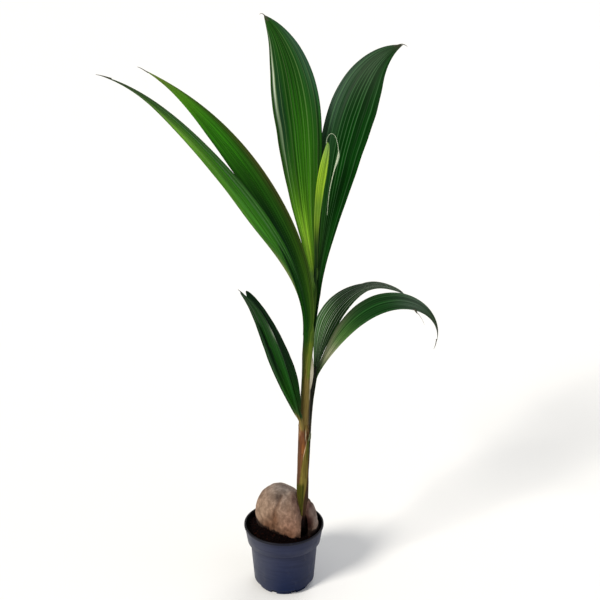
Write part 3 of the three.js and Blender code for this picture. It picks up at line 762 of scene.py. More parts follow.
SOIL_SKINS = [
    plain_material(f"potting_mix_{i}", code, rough=0.95, scale=500, strength=0.8)
    for i, code in enumerate(SOIL_TONES)
]


# Leaf lobes, by the rule of the solids

def heading(lobe, t):
    turn = lerp(*lobe.turn, t ** lobe.bend) + lobe.sway * np.sin(np.pi * t)
    angle = np.radians(turn)
    return unit(np.stack([np.cos(angle), lerp(*lobe.away, t), np.sin(angle)], -1))


def width_share(lobe, t):
    up = np.sin(np.pi / 2 * np.clip(t / lobe.widest, 0, 1))
    down = np.cos(np.pi / 2 * np.clip((t - lobe.widest) / (1 - lobe.widest), 0, 1))
    down = np.maximum(down, 0)
    rising = lobe.foot + (1 - lobe.foot) * up ** lobe.rise
    falling = np.maximum(down ** lobe.fall, lobe.tail * np.sqrt(down))
    return np.where(t < lobe.widest, rising, falling)


def midline(lobe, t):
    fine = np.linspace(0, 1, BLADE.steps + 1)
    steps = heading(lobe, (fine[1:] + fine[:-1]) / 2) * lobe.length / BLADE.steps
    path = np.vstack([np.zeros(3), np.cumsum(steps, axis=0)]) + np.array(lobe.base)
    return np.stack([np.interp(t, fine, path[:, axis]) for axis in range(3)], -1)


def curve_points(points, count):
    """A Catmull-Rom line through the points."""
    knots = np.array(points, dtype=float)
    padded = np.vstack([2 * knots[0] - knots[1], knots, 2 * knots[-1] - knots[-2]])
    place = np.linspace(0, len(knots) - 1, count)
    start = np.minimum(place.astype(int), len(knots) - 2)
    u = (place - start)[:, None]
    a, b, c, d = (padded[start + i] for i in range(4))
    return 0.5 * (2 * b + (c - a) * u + (2 * a - 5 * b + 4 * c - d) * u ** 2
                  + (3 * b - a - 3 * c + d) * u ** 3)


def blade_sections(lobe):
    """Cross-sections from foot to tip: place along, middle, direction, face, width and spine."""
    t = 1 - (1 - np.linspace(0, 1, BLADE.rows)) ** BLADE.crowding
    foot, tip = (np.array(face, dtype=float) for face in lobe.face)
    middle = midline(lobe, t)
    if lobe.nudge:
        by, at, spread = lobe.nudge
        middle = middle + bell(t, at, spread)[:, None] * np.array(by)
    return Values(
        t=t, middle=middle, along=heading(lobe, t), face=unit(lerp(foot, tip, t[:, None])),
        width=lobe.width * width_share(lobe, t), spine=np.full(len(t), lobe.spine),
    )


def add_root(cut, lobe):
    """Cross-sections below the foot, where the lobe narrows on down its stalk."""
    after = midline(lobe, np.array([BLADE.join]))[0]
    knots = [place for place, _ in lobe.root] + [cut.middle[0], after]
    line = curve_points(knots, BLADE.root_rows * (len(knots) - 1) + 1)
    count = BLADE.root_rows * len(lobe.root)
    gaps = np.linalg.norm(np.diff(line[:count + 1], axis=0), axis=1)
    share = np.linspace(0, 1, count, endpoint=False)
    widths = [wide for _, wide in lobe.root] + [cut.width[0]]
    root_widths = np.interp(share, np.linspace(0, 1, len(widths)), widths)
    cut.t = np.concatenate([-np.cumsum(gaps[::-1])[::-1] / lobe.length, cut.t])
    cut.along = np.vstack([unit(np.gradient(line, axis=0))[:count], cut.along])
    cut.face = np.vstack([np.tile(cut.face[0], (count, 1)), cut.face])
    cut.middle = np.vstack([line[:count], cut.middle])
    cut.width = np.concatenate([root_widths, cut.width])
    cut.spine = np.concatenate([lerp(0.5, lobe.spine, share ** 2), cut.spine])


def pleat_places(across, pleats):
    """Places across counted in pleats, which are of uneven widths."""
    wander = sum(share * np.sin(2 * np.pi * waves * across) for share, waves in BLADE.drifts)
    return across * pleats + BLADE.drift * wander


def pleat_wave(places):
    """A softened zigzag across the blade, from -1 in its valleys to 1 on its crests."""
    edge = BLADE.pleat_edge
    return np.arcsin(edge * np.sin(2 * np.pi * (places - 0.25))) / math.asin(edge)


def blade_tones(look, t, across, places, chance):
    """The tone of every point: the plain colour, the tints, and panels of uneven depth."""
    shape = (len(t), across.shape[1])
    spread_t = np.broadcast_to(t[:, None], shape)
    spread_u = np.broadcast_to(across, shape)
    tone = np.broadcast_to(linear(look.plain), (*shape, 3))
    for code, at, along_spread, place, across_spread, strength in look.tints:
        share = bell(spread_t, at, along_spread) * bell(spread_u, place, across_spread)
        tone = painted(tone, code, strength * share)
    panels = [chance.uniform(-1, 1) for _ in range(2 * look.pleats + 3)]
    turns = [chance.uniform(0, 2 * math.pi) for _ in panels]
    index = np.clip((2 * places).astype(int), 0, len(panels) - 1)
    sway = np.sin(BLADE.panel_waves * t[:, None] + np.array(turns)[index])
    shade = np.array(panels)[index] + BLADE.panel_sway * sway
    return tone * (1 + BLADE.panel_contrast * shade)[..., None]


def skin_at(places):
    """The tone that the skin of the stem has next to each place."""
    height = places[..., 2]
    apart = places - limb_centre(height)
    return stem_skin(height, np.degrees(np.arctan2(apart[..., 1], apart[..., 0])) % 360)


def merged_tone(tone, places, heights):
    """The tone of a lobe's root, which turns into the skin of the stem lower down."""
    share = 1 - smooth(places[..., 2], *heights)
    return lerp(tone, skin_at(places), share[..., None])


def rib_marks(look, t, places, chance):
    """Pale fold ribs, on the crests in front and in the valleys behind, and their colour."""
    code, strength, least = look.rib
    picks = [chance.uniform(least, 1.0) for _ in range(look.pleats + 2)]
    strength = strength * np.array(picks)[np.clip(places.astype(int), 0, look.pleats + 1)]
    fade = (smooth(t, *BLADE.ribs_begin) * (1 - smooth(t, *BLADE.ribs_end)))[:, None]
    wave = pleat_wave(places)
    crests = [smooth(turned, BLADE.rib_edge, 1.0) * strength * fade for turned in (wave, -wave)]
    ribs = np.broadcast_to(linear(code), (2, *crests[0].shape, 3))
    return {"crest": np.stack(crests).reshape(-1, 1), "rib": ribs.reshape(-1, 3)}


def blade_sides(lobe, cut, across, places, pleats, seed):
    """The middle, front and back of a blade: rippled, sagging, pleated and thin at its margins."""
    t, width = cut.t, cut.width[:, None]
    ripple = 1
    for size, waves, turns in BLADE.ripples:
        ripple = ripple + size * np.sin(t * waves + turns * seed)
    ripple = ripple * (1 - lobe.nib * smooth(t, BLADE.nib_from, 1.0))
    offset = (across - 1 + cut.spine[:, None]) * (cut.width * ripple)[:, None]
    deep = np.minimum(BLADE.pleat_share * width / pleats, BLADE.pleat_deepest)
    sway = BLADE.sag * np.sin(t * BLADE.sag_waves + seed)[:, None]
    sag = sway * (2 * across - 1) * (width / BLADE.sag_width)
    half = lerp(BLADE.edge_thick, BLADE.thick, 1 - (2 * across - 1) ** 2) / 2
    half = half * lerp(1.0, BLADE.tip_thin, np.clip(t, 0, 1)[:, None] ** 4)
    side = unit(np.cross(cut.along, cut.face))
    normal = np.cross(side, cut.along)[:, None]
    middle = cut.middle[:, None] + side[:, None] * offset[..., None]
    pleated = pleat_wave(places) * deep + sag
    return middle, [middle + normal * (pleated + out)[..., None] for out in (half, -half)]


def blade(name, lobe, look, material, slot, *nodes):
    """A pleated lobe as a thin closed shell, painted by its look."""
    chance = random.Random(name)
    seed = len(name) * BLADE.seed
    cut = blade_sections(lobe)
    if lobe.root:
        add_root(cut, lobe)
    across = np.linspace(0, 1, look.pleats * BLADE.per_pleat + 1)[None, :]
    places = pleat_places(across, look.pleats)
    middle, (front, back) = blade_sides(lobe, cut, across, places, look.pleats, seed)
    tone = blade_tones(look, cut.t, across, places, chance)
    if lobe.merge:
        tone = merged_tone(tone, middle, lobe.merge)
    under = painted(tone, UNDERSIDE.tone, np.full(tone.shape[:2], UNDERSIDE.share))
    marks = rib_marks(look, cut.t, places, chance)
    lengthwise = cut.t[:, None] * lobe.length
    grain = np.stack(np.broadcast_arrays(across * lobe.width, lengthwise, seed), -1)
    made = thin_shell(name, front, back, (tone, under), material, grain, marks, sharp=40)
    return dressed(made, slot, *nodes)


# The skin of stem, sheaths and stalks

def stem_centre(height):
    share = np.maximum(0, (height - STEM.foot) / (STEM.top - STEM.foot))
    x = lerp(STEM.foot_x, STEM.top_x, share ** STEM.lean)
    return np.stack([x, np.full_like(x, STEM.y), height], -1)


def crown_centre(height):
    above = height - STEM.top
    x = STEM.top_x + CROWN.lean * above
    return np.stack([x, STEM.y + CROWN.back * above, height], -1)


def limb_centre(height):
    """The middle of the stem, or of the crown above it."""
    return np.where((height < STEM.top)[..., None], stem_centre(height), crown_centre(height))


def stem_radius(height):
    return lerp(STEM.radius, STEM.neck, smooth(height, STEM.taper_from, STEM.top))


def strip_share(height, angle, line, soft):
    """How much of a strip lies on each place: its line is height, angle and half-width."""
    levels, middles, halves = np.array(line, dtype=float).T
    apart = (angle - np.interp(height, levels, middles) + 180) % 360 - 180
    half = np.interp(height, levels, halves)
    begun = smooth(height, levels[0] - STRIP_FADE, levels[0])
    ended = smooth(height, levels[-1], levels[-1] + STRIP_FADE)
    return begun * (1 - ended) * (1 - smooth(np.abs(apart), half - soft, half + soft))


def stem_skin(height, angle):
    """The tone of the stem's skin at each height and angle, on core, sheaths and stalks alike."""
    levels = [level for level, _ in STEM_TONES]
    codes = np.array([linear(code) for _, code in STEM_TONES])
    tone = np.stack([np.interp(height, levels, codes[:, i]) for i in range(3)], -1)
    for code, strength, soft, line in STEM_STRIPS:
        tone = painted(tone, code, strength * strip_share(height, angle, line, soft))
    return tone


def split_depth(height, angle):
    """How far the split and the torn hole sink the skin of a dead sheath."""
    sunk = SPLIT.depth * strip_share(height, angle, SPLIT.line, SPLIT.soft)
    return sunk + HOLE.depth * strip_share(height, angle, HOLE.line, HOLE.soft)


def ribbing(angle, height, count, depth, seed):
    """Shallow ribs that run up a limb and wander a little."""
    turn = np.radians(angle + RIBS.wander * np.sin(height / RIBS.run + seed))
    fine = np.sin(RIBS.ratio * count * turn + seed)
    return depth * (np.sin(count * turn) + RIBS.second * fine)


def limb_grain(angle, height, radius, seed):
    return np.stack([np.radians(angle) * radius, height, np.full_like(height, seed)], -1)


def around(centre, angle, radius):
    turn = np.radians(angle)
    return np.stack([
        centre[..., 0] + radius * np.cos(turn),
        centre[..., 1] + radius * np.sin(turn),
        centre[..., 2],
    ], -1)


def with_ends(grid, foot, tip):
    """A grid's values in one list, with one more for each of its caps."""
    return np.concatenate([grid.reshape(-1, 3), [foot, tip]])


def closed_limb(name, centre_line, radius, toned, columns, seed, *nodes):
    """A ribbed limb with capped ends. Toned gives the tone for every place on it."""
    rows = len(centre_line)
    angle = np.broadcast_to(np.arange(columns) * 360 / columns, (rows, columns))
    centre = np.broadcast_to(centre_line[:, None], (rows, columns, 3))
    height = centre[..., 2]
    ribs = ribbing(angle, height, LIMB.ribs, LIMB.depth, seed)
    points = around(centre, angle, radius[:, None] + ribs)
    tone = toned(points)
    grain = limb_grain(angle, height, radius[:, None], seed)
    count = rows * columns
    faces = grid_faces(rows, columns, closed=True).tolist()
    for i in range(columns):
        after = (i + 1) % columns
        faces.append([count, after, i])
        faces.append([count + 1, count - columns + i, count - columns + after])
    made = mesh_object(
        name, with_ends(points, centre_line[0], centre_line[-1]), faces, [STALK_SKIN],
        tone=with_ends(tone, tone[0, 0], tone[-1, 0]),
        marks={"grain": with_ends(grain, grain[0, 0], grain[-1, -1])},
    )
    return dressed(made, "stem", *nodes)


def stem_core():
    height = np.linspace(STEM.foot, STEM.top, STEM.rows)
    return closed_limb(
        "stem_core", stem_centre(height), stem_radius(height), skin_at, STEM.columns, STEM.seed,
        "stem",
    )


def leaf_stalk(name):
    """A leaf's stalk: it starts in the tone of the stem and takes its own further up."""
    stalk = STALKS[name]

    def toned(places):
        own = smooth(places[..., 2], stalk.own_from, stalk.own_full)
        return painted(skin_at(places), stalk.plain, own)

    given = np.linspace(0, 1, len(stalk.radius))
    radius = np.interp(np.linspace(0, 1, LIMB.rows), given, stalk.radius)
    line = curve_points(stalk.points, LIMB.rows)
    return closed_limb(name + "_skin", line, radius, toned, LIMB.columns, len(name), name)


def wrapped(name, angle, height, centre, outer, thick, material, seed, slot, *nodes):
    """A sheath: a thin closed shell round a limb, with a radius for every point outside."""
    sides = [around(centre, angle, radius) for radius in (outer, outer - thick)]
    tone = stem_skin(height, angle)
    grain = limb_grain(angle, height, outer, seed)
    made = thin_shell(name, *sides, (tone, tone * SHEATH.inside), material, grain)
    return dressed(made, slot, *nodes)


def old_sheath(name):
    """One dead sheath round the stem, open along its seam and torn off obliquely at its top."""
    sheath = SHEATHS[name]
    seed = sheath.foot / 10
    start = SHEATH.seam + SHEATH.open / 2
    angle = np.linspace(start, start + 360 - SHEATH.open, SHEATH.columns)
    angle = np.broadcast_to(angle, (SHEATH.rows, SHEATH.columns))
    rise = np.linspace(0, 1, SHEATH.rows)[:, None]
    torn = sum(size * np.sin(angle / wide + share * seed) for size, wide, share in TEAR)
    slope = sheath.slope * (0.5 - 0.5 * np.cos(np.radians(angle - sheath.turn)))
    height = lerp(sheath.foot, sheath.top - (slope + 0.5 * sheath.ragged * torn), rise)
    lip = smooth(rise, SHEATH.lip_from, 1.0)
    outer = stem_radius(height) + SHEATH.gap + SHEATH.thick + sheath.proud
    outer = outer - SHEATH.press * lip - split_depth(height, angle)
    outer = outer + ribbing(angle, height, SHEATH.ribs, SHEATH.depth, seed)
    thick = lerp(SHEATH.thick, SHEATH.lip, lip)
    return wrapped(
        name + "_skin", angle, height, stem_centre(height), outer, thick, DRY_SKIN, seed,
        "old_sheath", name,
    )


def side_sheath():
    """The folded foot of the side leaf, which clasps stem and crown and opens upwards."""
    size = SIDE_SHEATH
    share = np.linspace(0, 1, size.columns)[None, :]
    rise = np.linspace(0, 1, size.rows)[:, None]
    height = lerp(size.foot, lerp(size.top, size.low_top, np.abs(2 * share - 1) ** size.fold), rise)
    above = smooth(height, size.ledge, size.full)
    turn = size.narrow * above
    angle = lerp(size.start + turn, size.end - turn, share)
    centre = limb_centre(height)
    proud = smooth(height, size.foot, size.ledge)
    outer = lerp(stem_radius(height) + size.flush, size.outer + size.flare * above, proud)
    outer = outer + ribbing(angle, height, size.ribs, size.depth, size.seed)
    thick = size.thick * lerp(1, size.lip, smooth(rise, size.lip_from, 1.0))
    return wrapped(
        "side_leaf_sheath", angle, height, centre, outer, thick, STALK_SKIN, size.seed,
        "stem", "side_leaf_stalk",
    )


def papery_edge():
    """A pale dry strip of sheath that stands off the right of the stem below the bent leaf."""
    size = PAPERY_EDGE
    height = np.linspace(size.foot, size.top, size.rows)
    centre = stem_centre(height)
    swell = np.sin(np.linspace(0, np.pi, size.rows)) ** size.swell
    inner = around(centre, size.angle, stem_radius(height) + size.proud)
    outer = centre + np.stack([
        lerp(size.least, size.reach, swell), np.full_like(swell, size.y - STEM.y), 0 * swell,
    ], -1)
    share = np.linspace(0, 1, size.columns)[None, :, None]
    front = lerp(inner[:, None], outer[:, None], share)
    front[..., 1] -= size.bow * np.sin(np.pi * share[..., 0])
    back = front + np.array([0, size.thick, 0])
    cover = np.broadcast_to(size.cover * swell[:, None], front.shape[:2])
    tone = painted(stem_skin(front[..., 2], size.angle), size.tone, cover)
    made = thin_shell("papery_edge", front, back, (tone, tone), DRY_SKIN, front[..., [0, 2, 1]])
    return dressed(made, "old_sheath")


# Husk

def ball(rows, columns):
    polar = np.linspace(0, np.pi, rows)[:, None]
    turn = np.linspace(0, 2 * np.pi, columns, endpoint=False)[None, :]
    return np.stack([
        np.sin(polar) * np.cos(turn), np.sin(polar) * np.sin(turn), np.cos(polar) + 0 * turn,
    ], -1)


def husk_shells():
    """The nut and its lobes as plain overlapping shells."""
    rows, columns = HUSK.rows, HUSK.columns
    sphere = ball(rows, columns)
    x, y, z = np.moveaxis(sphere, -1, 0)
    turn = np.arctan2(y, x) - math.radians(HUSK.ridge_turn)
    ridges = 1 + HUSK.ridge * np.cos(HUSK.ridges * turn)
    x, y, z = x * HUSK.half[0] * ridges, y * HUSK.half[1] * ridges, z * HUSK.half[2]
    lean = math.radians(HUSK.lean)
    cos, sin = math.cos(lean), math.sin(lean)
    nut = np.stack([x * cos + z * sin, y, z * cos - x * sin], -1) + np.array(HUSK.centre)
    shells = [nut] + [sphere * np.array(size) + np.array(at) for at, size in HUSK.lobes]
    points = np.concatenate([shell.reshape(-1, 3) for shell in shells])
    points[:, 2] = np.maximum(points[:, 2], HUSK.flat)
    faces = grid_faces(rows, columns, closed=True)
    return points, np.concatenate([faces + rows * columns * i for i in range(len(shells))])


def fused(points, faces, voxel, smoothing):
    """One smoothed skin over overlapping shells, as points, normals and faces."""
    mesh = bpy.data.meshes.new("fusing")
    mesh.from_pydata((points * MM).tolist(), [], faces.tolist())
    made = bpy.data.objects.new("fusing", mesh)
    bpy.context.scene.collection.objects.link(made)
    modifier = made.modifiers.new("skin", "REMESH")
    modifier.mode = "VOXEL"
    modifier.voxel_size = voxel * MM
    soften = made.modifiers.new("soften", "SMOOTH")
    soften.factor = 0.5
    soften.iterations = smoothing
    graph = bpy.context.evaluated_depsgraph_get()
    skin = made.evaluated_get(graph).to_mesh()
    places = np.array([v.co for v in skin.vertices]) / MM
    normals = np.array([v.normal for v in skin.vertices])
    skin_faces = [list(p.vertices) for p in skin.polygons]
    bpy.data.objects.remove(made)
    return places, normals, skin_faces


def noise_at(places, scale, seed):
    shift = Vector((seed, 2 * seed, -seed))
    return np.array([noise.noise(Vector(p) + shift) for p in places * np.array(scale)])


def line_distance(places, line):
    """How far each place is from a bent line."""
    least = np.full(len(places), np.inf)
    knots = np.array(line, dtype=float)
    for start, end in zip(knots[:-1], knots[1:]):
        step = end - start
        share = np.clip((places - start) @ step / (step @ step), 0, 1)
        least = np.minimum(least, np.linalg.norm(places - start - share[:, None] * step, axis=1))
    return least


def grooved(places, lift, knobs):
    """The lift with the grooves cut into it, and how much painted crease shade each place gets."""
    crease_shade = np.zeros(len(places))
    for line, half, depth in GROOVES:
        share = bell(line_distance(places, line) + CREASE.wander * knobs, 0, half)
        lift = lift - depth * share
        crease_shade = np.maximum(crease_shade, share * depth / CREASE.full)
    return lift, np.clip(crease_shade, 0, 1)


def husk_tone(places, crease_shade, hollow, fibres, knobs):
    """Tints, then painted shade in the creases and in the hollow behind the stem, and darker below
    a line along the soil.
    """
    tone = np.broadcast_to(linear(HUSK_LOOK.plain), places.shape)
    for code, centre, spread, strength in HUSK_LOOK.tints:
        apart = np.linalg.norm((places - centre) / spread, axis=1)
        tone = painted(tone, code, strength * bell(apart, 0, 1))
    x, y, z = places.T
    edge = np.interp(x, *zip(*FOOT_DARK_LINE)) + FOOT_DARK_EDGE.knobs * knobs + FOOT_DARK_EDGE.fibres * fibres
    edge = np.where(y < 0, edge, np.minimum(edge, FOOT_DARK_EDGE.back))
    foot_dark = 1 - smooth(z, edge - FOOT_DARK_EDGE.below, edge + FOOT_DARK_EDGE.above)
    # Painted shade in the creases and the hollow, then the dark band at the foot
    shares = (crease_shade, smooth(hollow, *HUSK_LOOK.shade), foot_dark)
    for (code, strength), share in zip(HUSK_LOOK.covers, shares):
        tone = painted(tone, code, strength * share)
    return tone


def husk():
    """The nut in its husk: one skin over its shells, with relief, grooves and the hollow."""
    places, normals, faces = fused(*husk_shells(), HUSK.voxel, HUSK.smoothing)
    noises = [noise_at(places, scale, seed) for scale, seed, _ in HUSK_RELIEF]
    lift = sum(size * values for (_, _, size), values in zip(HUSK_RELIEF, noises))
    _, fibres, knobs = noises
    lift, crease_shade = grooved(places, lift, knobs)
    reach = np.array(CLEFT.half) * CLEFT.margin
    hollow = 1 - smooth(np.linalg.norm((places - CLEFT.centre) / reach, axis=1), *CLEFT.edge)
    moved = places + normals * (lift - CLEFT.depth * hollow)[:, None]
    moved[:, 2] = np.maximum(moved[:, 2], HUSK.flat)
    tone = husk_tone(places, crease_shade, hollow, fibres, knobs)
    made = mesh_object("husk_skin", moved, faces, [HUSK_SKIN], tone=tone, sharp=80)
    return dressed(made, "husk", "husk")


# Pot and potting mix

def pot_inside():
    """The pot's inner wall from the floor up, as radius and height."""
    thick, shelf, low = POT.wall, POT.collar_height, POT.foot_height
    return [
        (POT.foot - thick, POT.floor), (POT.foot - thick, low + thick),
        (POT.waist_foot - thick, low + 2 * thick), (POT.waist_top - thick, shelf - thick),
        (POT.collar_foot - thick, shelf + thick),
        (POT.rim - POT.lip, POT.height - POT.round),
    ]


def rim_edge(middle, way, turns):
    """One rounded edge of the rim: it bulges outwards or, with way -1, inwards."""
    size, low = POT.round, POT.height - POT.round
    return [(middle + way * size * math.cos(a), low + size * math.sin(a)) for a in turns]


def pot_outline():
    """The pot's wall from the middle of its underside, up outside and down inside."""
    rim, edge = POT.rim, POT.round
    foot, low, waist, collar = POT.foot, POT.foot_height, POT.waist_foot, POT.collar_foot
    shelf, under_lip = POT.collar_height, POT.height - POT.lip_height
    collar_top = rim - POT.overhang
    outside = [
        (0, 0), (foot - edge, 0), (foot - 0.4, 0.4), (foot, edge), (foot, DRAIN.height),
        (foot, low - 1), (foot + 0.8, low), (waist - 1, low + 0.5), (waist, low + 1.5),
        (lerp(waist, POT.waist_top, 0.5), lerp(low, shelf, 0.5)),
        (POT.waist_top, shelf - 1.8), (POT.waist_top + 1.5, shelf - 1),
        (collar - 1, shelf - 0.3), (collar, shelf + 0.8),
        (lerp(collar, collar_top, 0.5), lerp(shelf, under_lip, 0.5)),
        (collar_top, under_lip), (rim - 0.4, under_lip + 0.4), (rim, under_lip + 1.2),
    ]
    quarter = np.linspace(0, math.pi / 2, POT.arc)
    top = rim_edge(rim - edge, 1, quarter) + rim_edge(rim - POT.lip + edge, -1, quarter[::-1])
    return np.array([*outside, *top, *pot_inside()[-2::-1], (0, POT.floor)])


def pot_tone(height, angle, outside):
    """Slate that turns bluer lower down, with a painted sheen on the left, near black at the rim,
    and painted shade, near black, inside.
    """
    tones = POT_TONES
    rise = smooth(height, *tones.rise)
    tone = lerp(linear(tones.low), linear(tones.high), rise[..., None])
    leftward = smooth(-np.cos(np.radians(angle)), *tones.leftward)
    # Painted sheen on the left, where the key light falls
    tone = painted(tone, tones.left, tones.left_share * leftward * np.ones_like(rise))
    rim, (low, high) = POT.height - POT.lip_height, tones.rim_edge
    tone = painted(tone, tones.rim, tones.rim_share * smooth(height, rim + low, rim + high))
    # Painted shade, near black, on the inner wall
    return painted(tone, tones.inside, np.broadcast_to(1.0 - outside, rise.shape))


def nursery_pot():
    """The moulded pot, with drain notches round its inset foot."""
    outline = pot_outline()
    sides = POT.sides
    rows = len(outline)
    angle = np.arange(sides) * 360 / sides
    pitch = 360 / DRAIN.count
    half_notch = math.degrees(DRAIN.width / 2 / POT.foot)
    notched = np.abs((angle % pitch) - pitch / 2) < half_notch
    radius = np.repeat(outline[:, :1], sides, axis=1)
    height = np.repeat(outline[:, 1:], sides, axis=1)
    before_top = np.arange(rows) < int(np.argmax(outline[:, 1]))
    in_foot = before_top & (outline[:, 1] <= DRAIN.height) & (outline[:, 0] > POT.foot - DRAIN.edge)
    radius = radius - DRAIN.depth * in_foot[:, None] * notched[None, :]
    turn = np.radians(angle)
    points = np.stack([radius * np.cos(turn), radius * np.sin(turn), height], -1)
    tone = pot_tone(height, angle[None, :], before_top[:, None])
    faces = grid_faces(rows, sides, closed=True)
    made = mesh_object("nursery_pot", points, faces, [POT_SKIN], tone=tone, sharp=35)
    return dressed(made, "pot", "pot")


def soil_height(x, y):
    """The top of the mix: soft lumps, and a heap against the husk."""
    lump = SOIL.relief * np.sin(x / SOIL.lump_x + 1) * np.cos(y / SOIL.lump_y)
    beside, off = x - HEAP.centre[0], y - HEAP.centre[1]
    oval = np.hypot(beside / HEAP.half[0], off / HEAP.half[1])
    outward = np.maximum((oval - 1) * HEAP.half[1], -HEAP.reach / 2)
    apart = (np.degrees(np.arctan2(off, beside)) - HEAP.side + 180) % 360 - 180
    side = lerp(HEAP.least, 1, bell(apart, 0, HEAP.spread))
    return SOIL.top + lump + HEAP.height * side * bell(outward, 0, HEAP.reach)


def soil_bed():
    """The closed bed of potting mix: it fills the pot and its top is rough."""
    low, high = pot_inside()[-2:]
    share = (SOIL.top - low[1]) / (high[1] - low[1])
    wall = [*pot_inside()[:-1], (lerp(low[0], high[0], share), SOIL.top - SOIL.gap)]
    side = [(radius - SOIL.gap, height + SOIL.gap) for radius, height in wall]
    edge = side[-1][0]
    inward = [(edge * (1 - (i + 1) / SOIL.rings), None) for i in range(SOIL.rings)]
    angle = np.radians(np.arange(SOIL.sides) * 360 / SOIL.sides)
    rows = []
    for radius, height in [(0, POT.floor + SOIL.gap), *side, *inward]:
        x, y = radius * np.cos(angle), radius * np.sin(angle)
        if height is None:
            height = soil_height(x, y)
            ring = np.stack([x, y, height], -1)
            height = height + SOIL.grit * noise_at(ring, SOIL.grit_scale, SOIL.grit_seed)
        rows.append(np.stack([x, y, height + 0 * x], -1))
    faces = grid_faces(len(rows), SOIL.sides, closed=True)
    made = mesh_object("potting_mix_bed", np.stack(rows), faces, [SOIL_SKINS[0]], sharp=50)
    return dressed(made, "soil", "soil")


def spun(points, turn):
    """Points turned about the vertical."""
    x, y, z = np.moveaxis(points, -1, 0)
    cos, sin = math.cos(turn), math.sin(turn)
    return np.stack([x * cos - y * sin, x * sin + y * cos, z], -1)


def crumb_shape(chance, size):
    """A lumpy grain with eight corners and six faces."""
    corners = np.array([(x, y, z) for x in (-1, 1) for y in (-1, 1) for z in (-1, 1)], dtype=float)
    stray = CRUMBS.stray
    corners += np.array([[chance.uniform(-stray, stray) for _ in range(3)] for _ in range(8)])
    stretch = np.array([chance.uniform(*limits) for limits in CRUMBS.stretch])
    turn = chance.uniform(0, 2 * math.pi)
    return spun(corners * stretch * size * CRUMBS.half, turn)


def fibre_shape(chance):
    """A short flat splinter of bark."""
    shape = crumb_shape(chance, 1.0) * np.array(CRUMBS.fibre_stretch)
    shape[:, 0] *= CRUMBS.fibre_length * chance.uniform(*CRUMBS.fibre_shares)
    return spun(shape, chance.uniform(0, math.pi))


CRUMB_FACES = np.array([
    (0, 1, 3, 2), (4, 6, 7, 5), (0, 4, 5, 1), (2, 3, 7, 6), (0, 2, 6, 4), (1, 5, 7, 3),
])


def potting_mix():
    """Loose grains and bark fibres over the soil, in three dark tones."""
    chance = random.Random(11)
    reach = POT.rim - POT.lip - CRUMBS.margin
    points, faces, picks = [], [], []
    for i in range(CRUMBS.count + CRUMBS.fibres):
        distance = reach * math.sqrt(chance.random())
        turn = chance.uniform(0, 2 * math.pi)
        x, y = distance * math.cos(turn), distance * math.sin(turn)
        size = lerp(CRUMBS.small, CRUMBS.large, chance.random() ** CRUMBS.skew)
        shape = crumb_shape(chance, size) if i < CRUMBS.count else fibre_shape(chance)
        if np.linalg.norm(shape[:, :2] + (x, y), axis=1).max() > reach + CRUMBS.spare:
            continue
        height = soil_height(x, y) + CRUMBS.raised * size
        faces.append(CRUMB_FACES + 8 * len(points))
        points.append(shape + (x, y, height))
        picks.extend(chance.choices((0, 1, 2), CRUMBS.picks) * 6)
    made = mesh_object(
        "potting_mix_grains", np.concatenate(points), np.concatenate(faces), SOIL_SKINS,
        picks=picks, sharp=30,
    )
    return dressed(made, "soil")


# Threads and frayed fibres

def tube(points, radii):
    """A tapering thread along a smooth line, as points and faces with closed ends."""
    rows, sides = THREAD.rows, THREAD.sides
    line = curve_points(points, rows)
    along = unit(np.gradient(line, axis=0))
    side = unit(np.cross(along, np.array(THREAD.aid)))
    other = np.cross(along, side)
    radius = np.interp(np.linspace(0, 1, rows), np.linspace(0, 1, len(radii)), radii)
    turn = (np.arange(sides) * 2 * np.pi / sides)[None, :, None]
    ring = side[:, None] * np.cos(turn) + other[:, None] * np.sin(turn)
    wall = line[:, None] + ring * radius[:, None, None]
    faces = grid_faces(rows, sides, closed=True).tolist()
    faces.append(list(range(sides))[::-1])
    faces.append(list(range((rows - 1) * sides, rows * sides)))
    return wall.reshape(-1, 3), faces


def tubes_piece(name, lines, material, slot):
    """Several threads joined as one piece."""
    points, faces = [], []
    for line, radii in lines:
        start = sum(len(part) for part in points)
        wall, quads = tube(line, radii)
        points.append(wall)
        faces.extend([[start + corner for corner in face] for face in quads])
    made = mesh_object(name, np.concatenate(points), faces, [material], sharp=70)
    return dressed(made, slot)


def stem_point(angle, height, radius):
    return tuple(around(stem_centre(np.array(height)), angle, radius))


def frayed_fibres():
    """Loose fibres along the torn edge of the upper dead sheath."""
    chance = random.Random(5)
    lines = []
    for _ in range(FRAY.count):
        angle = chance.uniform(*FRAY.angle)
        foot = SHEATHS["torn_sheath"].top - chance.uniform(*FRAY.below)
        length = chance.uniform(*FRAY.length)
        lean = chance.uniform(*FRAY.lean)
        line = []
        for step in range(FRAY.steps + 1):
            share = step / FRAY.steps
            outward = FRAY.bend * share ** 2 * chance.uniform(*FRAY.bends)
            radius = STEM.radius + FRAY.proud + outward
            line.append(stem_point(angle + lean * share, foot + length * share, radius))
        lines.append((line, FRAY.radii))
    return tubes_piece("frayed_fibres", lines, FRAY_SKIN, "old_sheath")


def frayed_lump():
    """A curl of grey fibre that stands off the right of the stem beside the torn hole."""
    lines = []
    for angle, foot, length in LUMP.curls:
        line = [
            stem_point(angle + LUMP.lean * share, foot + length * share,
                       STEM.radius + LUMP.proud + outward)
            for share, outward in LUMP.bulge
        ]
        lines.append((line, LUMP.radii))
    return tubes_piece("frayed_lump", lines, LUMP_SKIN, "old_sheath")


# Stage

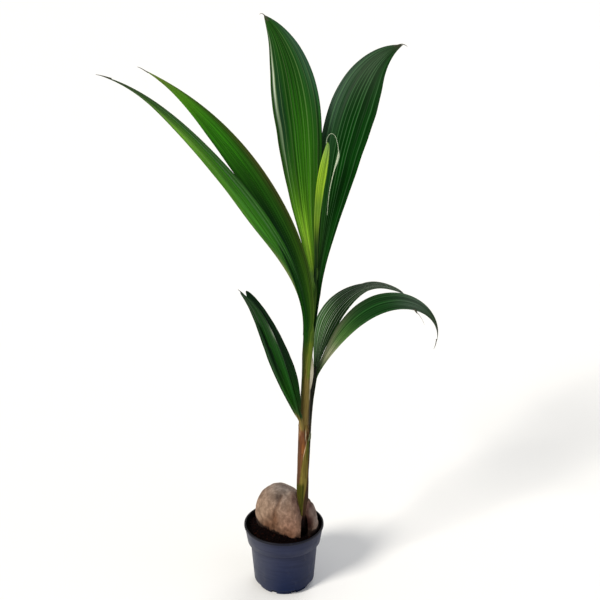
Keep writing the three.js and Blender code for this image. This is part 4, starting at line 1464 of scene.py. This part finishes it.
def add_sun(name, sun):
    light = bpy.data.lights.new(name, "SUN")
    light.energy = sun.strength
    light.angle = math.radians(sun.across)
    light.color = linear(sun.colour)
    made = bpy.data.objects.new(name, light)
    made.rotation_euler = Vector(sun.side).to_track_quat("Z", "Y").to_euler()
    bpy.context.scene.collection.objects.link(made)


def add_stage():
    data = bpy.data.cameras.new("photo_camera")
    data.lens = CAMERA.lens
    data.sensor_width = CAMERA.sensor
    data.clip_end = CAMERA.far
    camera = bpy.data.objects.new("photo_camera", data)
    camera.location = CAMERA.place
    camera.rotation_euler = (math.radians(90 - CAMERA.down), 0, 0)
    bpy.context.scene.collection.objects.link(camera)
    bpy.context.scene.camera = camera
    for name, sun in SUNS.items():
        add_sun(name, sun)
    world = bpy.data.worlds.new("studio")
    world.use_nodes = True
    backdrop = world.node_tree.nodes["Background"]
    backdrop.inputs["Color"].default_value = (1.0, 1.0, 1.0, 1)
    backdrop.inputs["Strength"].default_value = SKY
    bpy.context.scene.world = world
    half = FLOOR.half
    corners = np.array([(-half, -half, 0), (half, -half, 0), (half, half, 0), (-half, half, 0)])
    made, _, shader = new_material("floor_paint", FLOOR.roughness, FLOOR.specular)
    shader.inputs["Base Color"].default_value = rgba(FLOOR.tone)
    floor = mesh_object("floor", corners, np.array([(0, 1, 2, 3)]), [made])
    bpy.context.scene.view_settings.view_transform = "Standard"


# The plant

def blade_nodes(name):
    return [node_name for node_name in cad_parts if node_name.startswith(name)]


add_stage()
nursery_pot()
soil_bed()
potting_mix()
husk()
stem_core()
for sheath_name in SHEATHS:
    old_sheath(sheath_name)
side_sheath()
papery_edge()
for stalk_name in STALKS:
    leaf_stalk(stalk_name)
for lobe_name, lobe_sizes in LOBES.items():
    young = lobe_name == "spear_leaf"
    blade(
        lobe_name + "_blade", lobe_sizes, LOOKS[lobe_name], YOUNG if young else LEAF,
        "young_leaf" if young else "leaf", *blade_nodes(lobe_name),
    )
tubes_piece("spear_threads", SPEAR_THREADS, THREAD_SKIN, "young_leaf")
tubes_piece("dry_tips", DRY_TIPS, DRY_TIP_SKIN, "leaf")
frayed_fibres()
frayed_lump()
